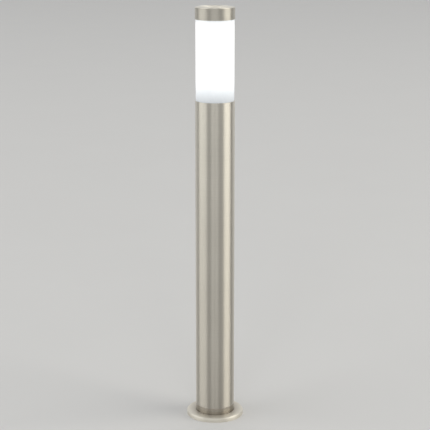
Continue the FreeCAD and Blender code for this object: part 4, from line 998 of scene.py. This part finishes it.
@dataclass
class ThreadedShell:
    """A screw shell drawn from thin sheet, with a rounded lamp thread rolled into it.

    The wall is measured outwards from the thread, or inwards where it is negative. The thread fades out towards
    both rims. A lead of 1 draws the lower rim in instead, as on a lamp, which starts in its holder there.
    """

    crest: float
    depth: float
    wall: float
    low: float
    high: float
    pitch: float = 3.629 * MM
    lead: float = 0.0
    plain: float = 2.2 * MM
    facets: int = 96
    rows: int = 66

    def grow(self, name: str, material: bpy.types.Material) -> bpy.types.Object:
        """Rolls the thread.

        Args:
            name: the piece's name.
            material: its material.

        Returns:
            The shell, closed at both rims.
        """
        roll = Recipe(name)
        crest, depth = roll.size("Crest radius", self.crest), roll.size("Thread depth", self.depth)
        wall, pitch = roll.size("Sheet", self.wall), roll.size("Pitch", self.pitch)
        low, tall = roll.size("Lower rim", self.low), roll.size("Shell height", self.high - self.low)
        lead, plain = roll.size("Lead-in", self.lead), roll.size("Plain rim", self.plain)
        facets, rows = roll.size("Facets", self.facets), roll.size("Rows", self.rows)
        grid = roll.out("GeometryNodeMeshGrid", {"Size X": 1.0, "Size Y": 1.0, "Vertices X": facets,
                                                 "Vertices Y": rows})
        place = roll.add("ShaderNodeSeparateXYZ", {0: roll.out("GeometryNodeInputPosition")}).outputs
        step = roll.reckon
        angle = step("MULTIPLY", step("ADD", place[0], 0.5), TURN)
        rise = step("MULTIPLY", step("ADD", place[1], 0.5), tall)
        level = step("ADD", rise, low)
        phase = step("SUBTRACT", step("MULTIPLY", step("DIVIDE", level, pitch), TURN), angle)
        wave = step("MULTIPLY_ADD", step("COSINE", phase), -0.5, 0.5)
        above = step("DIVIDE", step("SUBTRACT", tall, rise), plain)
        wave = step("MULTIPLY", wave, step("MINIMUM", above, 1.0))
        below = step("SUBTRACT", 1.0, step("DIVIDE", rise, plain))
        faded = step("SUBTRACT", 1.0, step("MAXIMUM", below, 0.0))
        wave = step("MULTIPLY", wave, step("MAXIMUM", faded, lead))
        wave = step("MAXIMUM", wave, step("MULTIPLY", below, lead))
        radius = step("SUBTRACT", crest, step("MULTIPLY", wave, depth))
        rolled = roll.out("ShaderNodeCombineXYZ", {0: step("MULTIPLY", radius, step("COSINE", angle)),
                                                   1: step("MULTIPLY", radius, step("SINE", angle)),
                                                   2: level})
        skin = roll.out("GeometryNodeSetPosition", {"Geometry": grid, "Position": rolled})
        skin = roll.out("GeometryNodeMergeByDistance", {"Geometry": skin, "Distance": TOUCHING})
        back = roll.out("GeometryNodeExtrudeMesh", {"Mesh": skin, "Offset Scale": wall, "Individual": False},
                        mode="FACES")
        joint = self.join(roll, skin, back)
        return roll.grow(name, joint, material)

    @staticmethod
    def join(roll: Recipe, skin: Socket, back: Socket) -> Socket:
        """Closes the sheet.

        Args:
            roll: the tree.
            skin: the threaded face.
            back: the wall that was drawn from it.

        Returns:
            The closed sheet.
        """
        front = roll.out("GeometryNodeFlipFaces", {"Mesh": skin})
        both = roll.add("GeometryNodeJoinGeometry")
        roll.tree.links.new(front, both.inputs[0])
        roll.tree.links.new(back, both.inputs[0])
        return roll.out("GeometryNodeMergeByDistance", {"Geometry": both.outputs[0], "Distance": TOUCHING})


@dataclass
class Lampholder(SubAssembly):
    """The porcelain lampholder with its contacts and screws."""

    thread_depth: float = 0.85 * MM
    sheet: float = 0.4 * MM
    finishes: dict[str, Finish] = dressed(
        holder_body=PORCELAIN, holder_terminals=BRASS, holder_terminal_screws=BRASS, holder_centre_contact=BRASS,
        holder_side_contact=BRASS, holder_screws=ZINC, holder_nuts=ZINC)

    def build(self) -> None:
        """Rolls the holder's screw shell."""
        low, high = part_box("holder_shell")
        shell = ThreadedShell(crest=high.x - self.sheet, depth=self.thread_depth, wall=self.sheet,
                              low=low.z, high=high.z)
        self.seat(shell.grow("holder_thread", NICKEL.material()), Body.POST, "nickel_shell", "holder_shell")


@dataclass
class SupplyGear(SubAssembly):
    """The bracket under the carrier, with the terminal block, the wires and the earth lug."""

    finishes: dict[str, Finish] = dressed(
        gear_bracket=ZINC, terminal_block=NATURAL_PLASTIC, terminal_clamps=BRASS, terminal_screws=ZINC,
        block_screws=ZINC, block_nuts=ZINC, wire_live=BROWN_WIRE, wire_neutral=BLUE_WIRE, wire_earth=EARTH_WIRE,
        earth_lug=SOLDER, earth_screw=ZINC, earth_washer=ZINC, earth_nut=ZINC)


@dataclass
class Head(SubAssembly):
    """The lift-off head: opal tube, collar and seal below, steel cap and liner above."""

    opal_wall: float = 2.5 * MM
    cap_sheet: float = 1.0 * MM
    cap_edge: float = 0.8 * MM
    # painted light: the cap's steel is painted this much lighter than the plain steel
    cap_painted_lift: float = 1.06
    cap_satin: float = 0.6
    cap_steps: int = 6
    edge: float = 0.25 * MM
    ring: float = 2.4 * MM
    ring_flats: int = 24
    ring_facets: int = 160
    finishes: dict[str, Finish] = dressed(
        head_collar=GREY_PLASTIC, cap_liner=GREY_PLASTIC, cap_seal=RUBBER, cap_stud=STEEL, cap_washer=ZINC,
        cap_nut=ZINC)

    def build(self) -> None:
        """Turns the opal tube, the cap and the sealing ring."""
        self.opal()
        self.cap()
        self.seal()

    def opal(self) -> None:
        """Turns the opal tube, with polished, slightly broken edges."""
        tube = lathe("opal_tube", tube_profile("diffuser", self.opal_wall, self.edge))
        finish = LitOpal("opal_diffuser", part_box("post_tube")[1].z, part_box("cap")[0].z)
        self.seat(tube, Body.HEAD, "opal_diffuser", "diffuser", finish=finish)

    def cap(self) -> None:
        """Turns the deep-drawn cap."""
        points = cup_profile("cap", self.cap_sheet, self.cap_edge, self.edge, self.cap_steps)
        # painted light: a lighter copy of the brushed steel
        finish = BrushedStainless("cap_stainless", colour=shade(STEEL_COLOUR, self.cap_painted_lift),
                                  roughness=self.cap_satin)
        self.seat(lathe("cap_skin", points, closed=False), Body.HEAD, "brushed_stainless", "cap", finish=finish)

    def seal(self) -> None:
        """Turns the round sealing ring."""
        low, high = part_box("head_seal")
        middle, radius = (low.z + high.z) / 2, self.ring / 2
        angles = [TURN * k / self.ring_flats for k in range(self.ring_flats)]
        points = [(high.x - radius + radius * math.cos(a), middle + radius * math.sin(a)) for a in angles]
        self.seat(lathe("sealing_ring", points, self.ring_facets), Body.SEAL, "seal_rubber", "head_seal", finish=RUBBER)


@dataclass
class Lamp(SubAssembly):
    """The retrofit lamp: contact, insulator, screw shell, plastic base, driver, boards, LEDs and envelope."""

    envelope_wall: float = 1.2 * MM
    dome: float = 12.0 * MM
    dome_steps: int = 12
    globe_facets: int = 128
    edge: float = 0.2 * MM
    thread_depth: float = 0.8 * MM
    shell_sheet: float = 0.3 * MM
    led_rows: int = 6
    led_pitch: float = 9.0 * MM
    led_columns_apart: float = 12.0 * MM
    led_wide: float = 2.8 * MM
    led_tall: float = 3.5 * MM
    finishes: dict[str, Finish] = dressed(
        lamp_contact=SOLDER, lamp_insulator=GLASS, lamp_base=LAMP_PLASTIC, lamp_driver_board=DRIVER_BOARD,
        lamp_driver_parts=DRIVER, lamp_led_board=LED_BOARD)

    def build(self) -> None:
        """Makes the envelope, the threaded shell and the LEDs."""
        low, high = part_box("lamp_envelope")
        points = cup_profile("lamp_envelope", self.envelope_wall, self.dome, self.edge, self.dome_steps)
        finish = LitOpal("lamp_opal", low.z, high.z, glow=0.62, bottom_glow=0.38, top_glow=0.5,
                         warm=(1.0, 0.985, 0.95), cool=(1.0, 0.97, 0.92))
        self.seat(lathe("lamp_globe", points, self.globe_facets, closed=False), Body.LAMP, "lamp_opal", "lamp_envelope",
                  finish=finish)
        low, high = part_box("lamp_shell")
        shell = ThreadedShell(crest=high.x, depth=self.thread_depth, wall=-self.shell_sheet,
                              low=low.z, high=high.z, lead=1.0)
        self.seat(shell.grow("lamp_thread", NICKEL.material()), Body.LAMP, "nickel_shell", "lamp_shell")
        self.seat(self.leds(), Body.LAMP, "led_phosphor", "lamp_leds")

    def leds(self) -> bpy.types.Object:
        """Sets the LEDs on both faces of their board, in two columns.

        Returns:
            All the LEDs as one piece.
        """
        low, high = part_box("lamp_leds")
        board_low, board_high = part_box("lamp_led_board")
        depth = high.y - board_high.y
        rows = Recipe("led_rows")
        count = rows.size("Rows", self.led_rows)
        tall = rows.size("Column height", self.led_pitch * (self.led_rows - 1))
        wide = rows.size("Column pitch", self.led_columns_apart)
        middle = rows.size("Middle height", (low.z + high.z) / 2)
        face = rows.size("Board to LED centre", (board_high.y - board_low.y) / 2 + depth / 2)
        chip = rows.out("GeometryNodeMeshCube", {"Size": (self.led_wide, depth, self.led_tall), "Vertices X": 2,
                                                 "Vertices Y": 2, "Vertices Z": 2})
        grid = rows.out("GeometryNodeMeshGrid", {"Size X": wide, "Size Y": tall, "Vertices X": 2,
                                                 "Vertices Y": count})
        both = rows.add("GeometryNodeJoinGeometry")
        for side in (1.0, -1.0):
            shift = rows.out("ShaderNodeCombineXYZ", {1: rows.reckon("MULTIPLY", face, side),
                                                      2: middle})
            stood = rows.out("GeometryNodeTransform", {"Geometry": grid, "Rotation": (math.pi / 2, 0, 0),
                                                       "Translation": shift})
            placed = rows.out("GeometryNodeInstanceOnPoints", {"Points": stood, "Instance": chip})
            rows.tree.links.new(placed, both.inputs[0])
        return rows.grow("lamp_led_chips", both.outputs[0], PHOSPHOR.material())


# ---------------------------------------------------------------- studio


def stand(distance: float, bearing: float) -> tuple[float, float]:
    """The place on the floor at a distance from the axis, by its bearing from the front in degrees."""
    angle = math.radians(bearing)
    return distance * math.sin(angle), -distance * math.cos(angle)


@dataclass(frozen=True)
class Softbox:
    """A tall soft light that stands round the light and faces its axis."""

    name: str
    bearing: float
    spread: float
    radiance: float
    colour: Colour = (1.0, 1.0, 1.0)
    distance: float = 11.0
    bottom: float = 0.0
    top: float = 9.4

    def place(self) -> None:
        """Sets the light up, by its bearing from the front and its spread in degrees."""
        lamp = bpy.data.lights.new(self.name, "AREA")
        lamp.shape = "RECTANGLE"
        lamp.size = 2 * self.distance * math.tan(math.radians(self.spread / 2))
        lamp.size_y = self.top - self.bottom
        lamp.energy = self.radiance * math.pi * lamp.size * lamp.size_y
        lamp.color = self.colour
        box = bpy.data.objects.new(self.name, lamp)
        box.location = (*stand(self.distance, self.bearing), (self.bottom + self.top) / 2)
        away = Vector((box.location.x, box.location.y, 0.0))
        box.rotation_euler = away.to_track_quat("Z", "Y").to_euler()
        box.visible_camera = False
        bpy.context.scene.collection.objects.link(box)


@dataclass(frozen=True)
class Flag:
    """A narrow dark panel that puts a thin dark line in the steel."""

    name: str
    bearing: float
    spread: float
    distance: float = 3.2
    top: float = 3.2

    def place(self) -> None:
        """Stands the panel up, where only the steel sees it."""
        shape = bmesh.new()
        edges = []
        for side in (-0.5, 0.5):
            x, y = stand(self.distance, self.bearing + side * self.spread)
            edges.append([shape.verts.new((x, y, 0.0)), shape.verts.new((x, y, self.top))])
        shape.faces.new((edges[0][0], edges[1][0], edges[1][1], edges[0][1]))
        panel = settle(self.name, shape)
        panel.data.materials.append(DARK_CLOTH.material())
        panel.visible_camera = False
        panel.visible_shadow = False
        panel.visible_diffuse = False


@dataclass
class Studio:
    """The floor, the soft lights and the camera."""

    floor_half: float = 60.0
    front_air: Colour = (0.52, 0.52, 0.52)
    rear_air: Colour = (1.0, 1.0, 1.0)
    rear_from: tuple[float, float] = (0.45, 0.72)
    eye_back: float = 2.5
    eye_height: float = 1.019
    tilt: float = 13.82
    lens: float = 112.31
    sensor: float = 36.0
    lights: tuple[Softbox, ...] = (
        Softbox("left_box", -79.0, 60.0, 1.5, (1.0, 0.995, 0.97)),
        Softbox("right_box", 79.0, 48.0, 3.8, (1.0, 0.97, 0.9), bottom=2.8),
        Softbox("front_fill", -1.0, 46.0, 0.87, distance=11.6, bottom=2.3),
        Softbox("front_left_strip", -14.0, 9.0, 1.15, bottom=2.3),
        Softbox("front_right_strip", 10.5, 7.0, 1.2, bottom=2.3),
    )
    flags: tuple[Flag, ...] = (Flag("left_flag", -114.0, 7.5), Flag("right_flag", 112.0, 9.5))

    def build(self) -> None:
        """Lays the floor and sets up the world, the lights and the camera."""
        shape = bmesh.new()
        half = self.floor_half
        shape.faces.new([shape.verts.new(p) for p in ((-half, -half, 0), (half, -half, 0), (half, half, 0),
                                                      (-half, half, 0))])
        floor = settle("studio_floor", shape)
        floor.data.materials.append(PALE_FLOOR.material())
        world = bpy.data.worlds.new("studio_air")
        world.use_nodes = True
        air = Wiring(world.node_tree)
        direction = air.add("ShaderNodeTexCoord").outputs["Object"]
        depth = air.add("ShaderNodeSeparateXYZ", {0: direction}).outputs[1]
        start, end = self.rear_from
        back = air.out("ShaderNodeMapRange", {"Value": depth, "From Min": start, "From Max": end},
                       interpolation_type="SMOOTHSTEP")
        light = air.blend(back, self.front_air, self.rear_air)
        air.tree.links.new(light, world.node_tree.nodes["Background"].inputs["Color"])
        bpy.context.scene.world = world
        for light in self.lights:
            light.place()
        for flag in self.flags:
            flag.place()
        self.camera()
        bpy.context.scene.view_settings.view_transform = "Standard"
        log.info("studio: %d soft lights, %d flags", len(self.lights), len(self.flags))

    def camera(self) -> None:
        """Stands the camera in front, a little above the head and tilted down."""
        lens = bpy.data.cameras.new("eye")
        lens.sensor_width = self.sensor
        lens.lens = self.lens
        eye = bpy.data.objects.new("eye", lens)
        eye.location = (0.0, -self.eye_back, self.eye_height)
        eye.rotation_euler = (math.radians(90.0 - self.tilt), 0.0, 0.0)
        bpy.context.scene.collection.objects.link(eye)
        bpy.context.scene.camera = eye


def main() -> None:
    """Builds the light in order."""
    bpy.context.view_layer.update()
    Studio().build()
    for group in (Foot(), Rosette(), Carrier(), Lampholder(), SupplyGear(), Head(), Lamp()):
        log.info("building %s", type(group).__name__)
        group.make()


if __name__ == "__main__":
    logging.basicConfig(level=logging.INFO, format="%(name)s %(message)s")
    main()
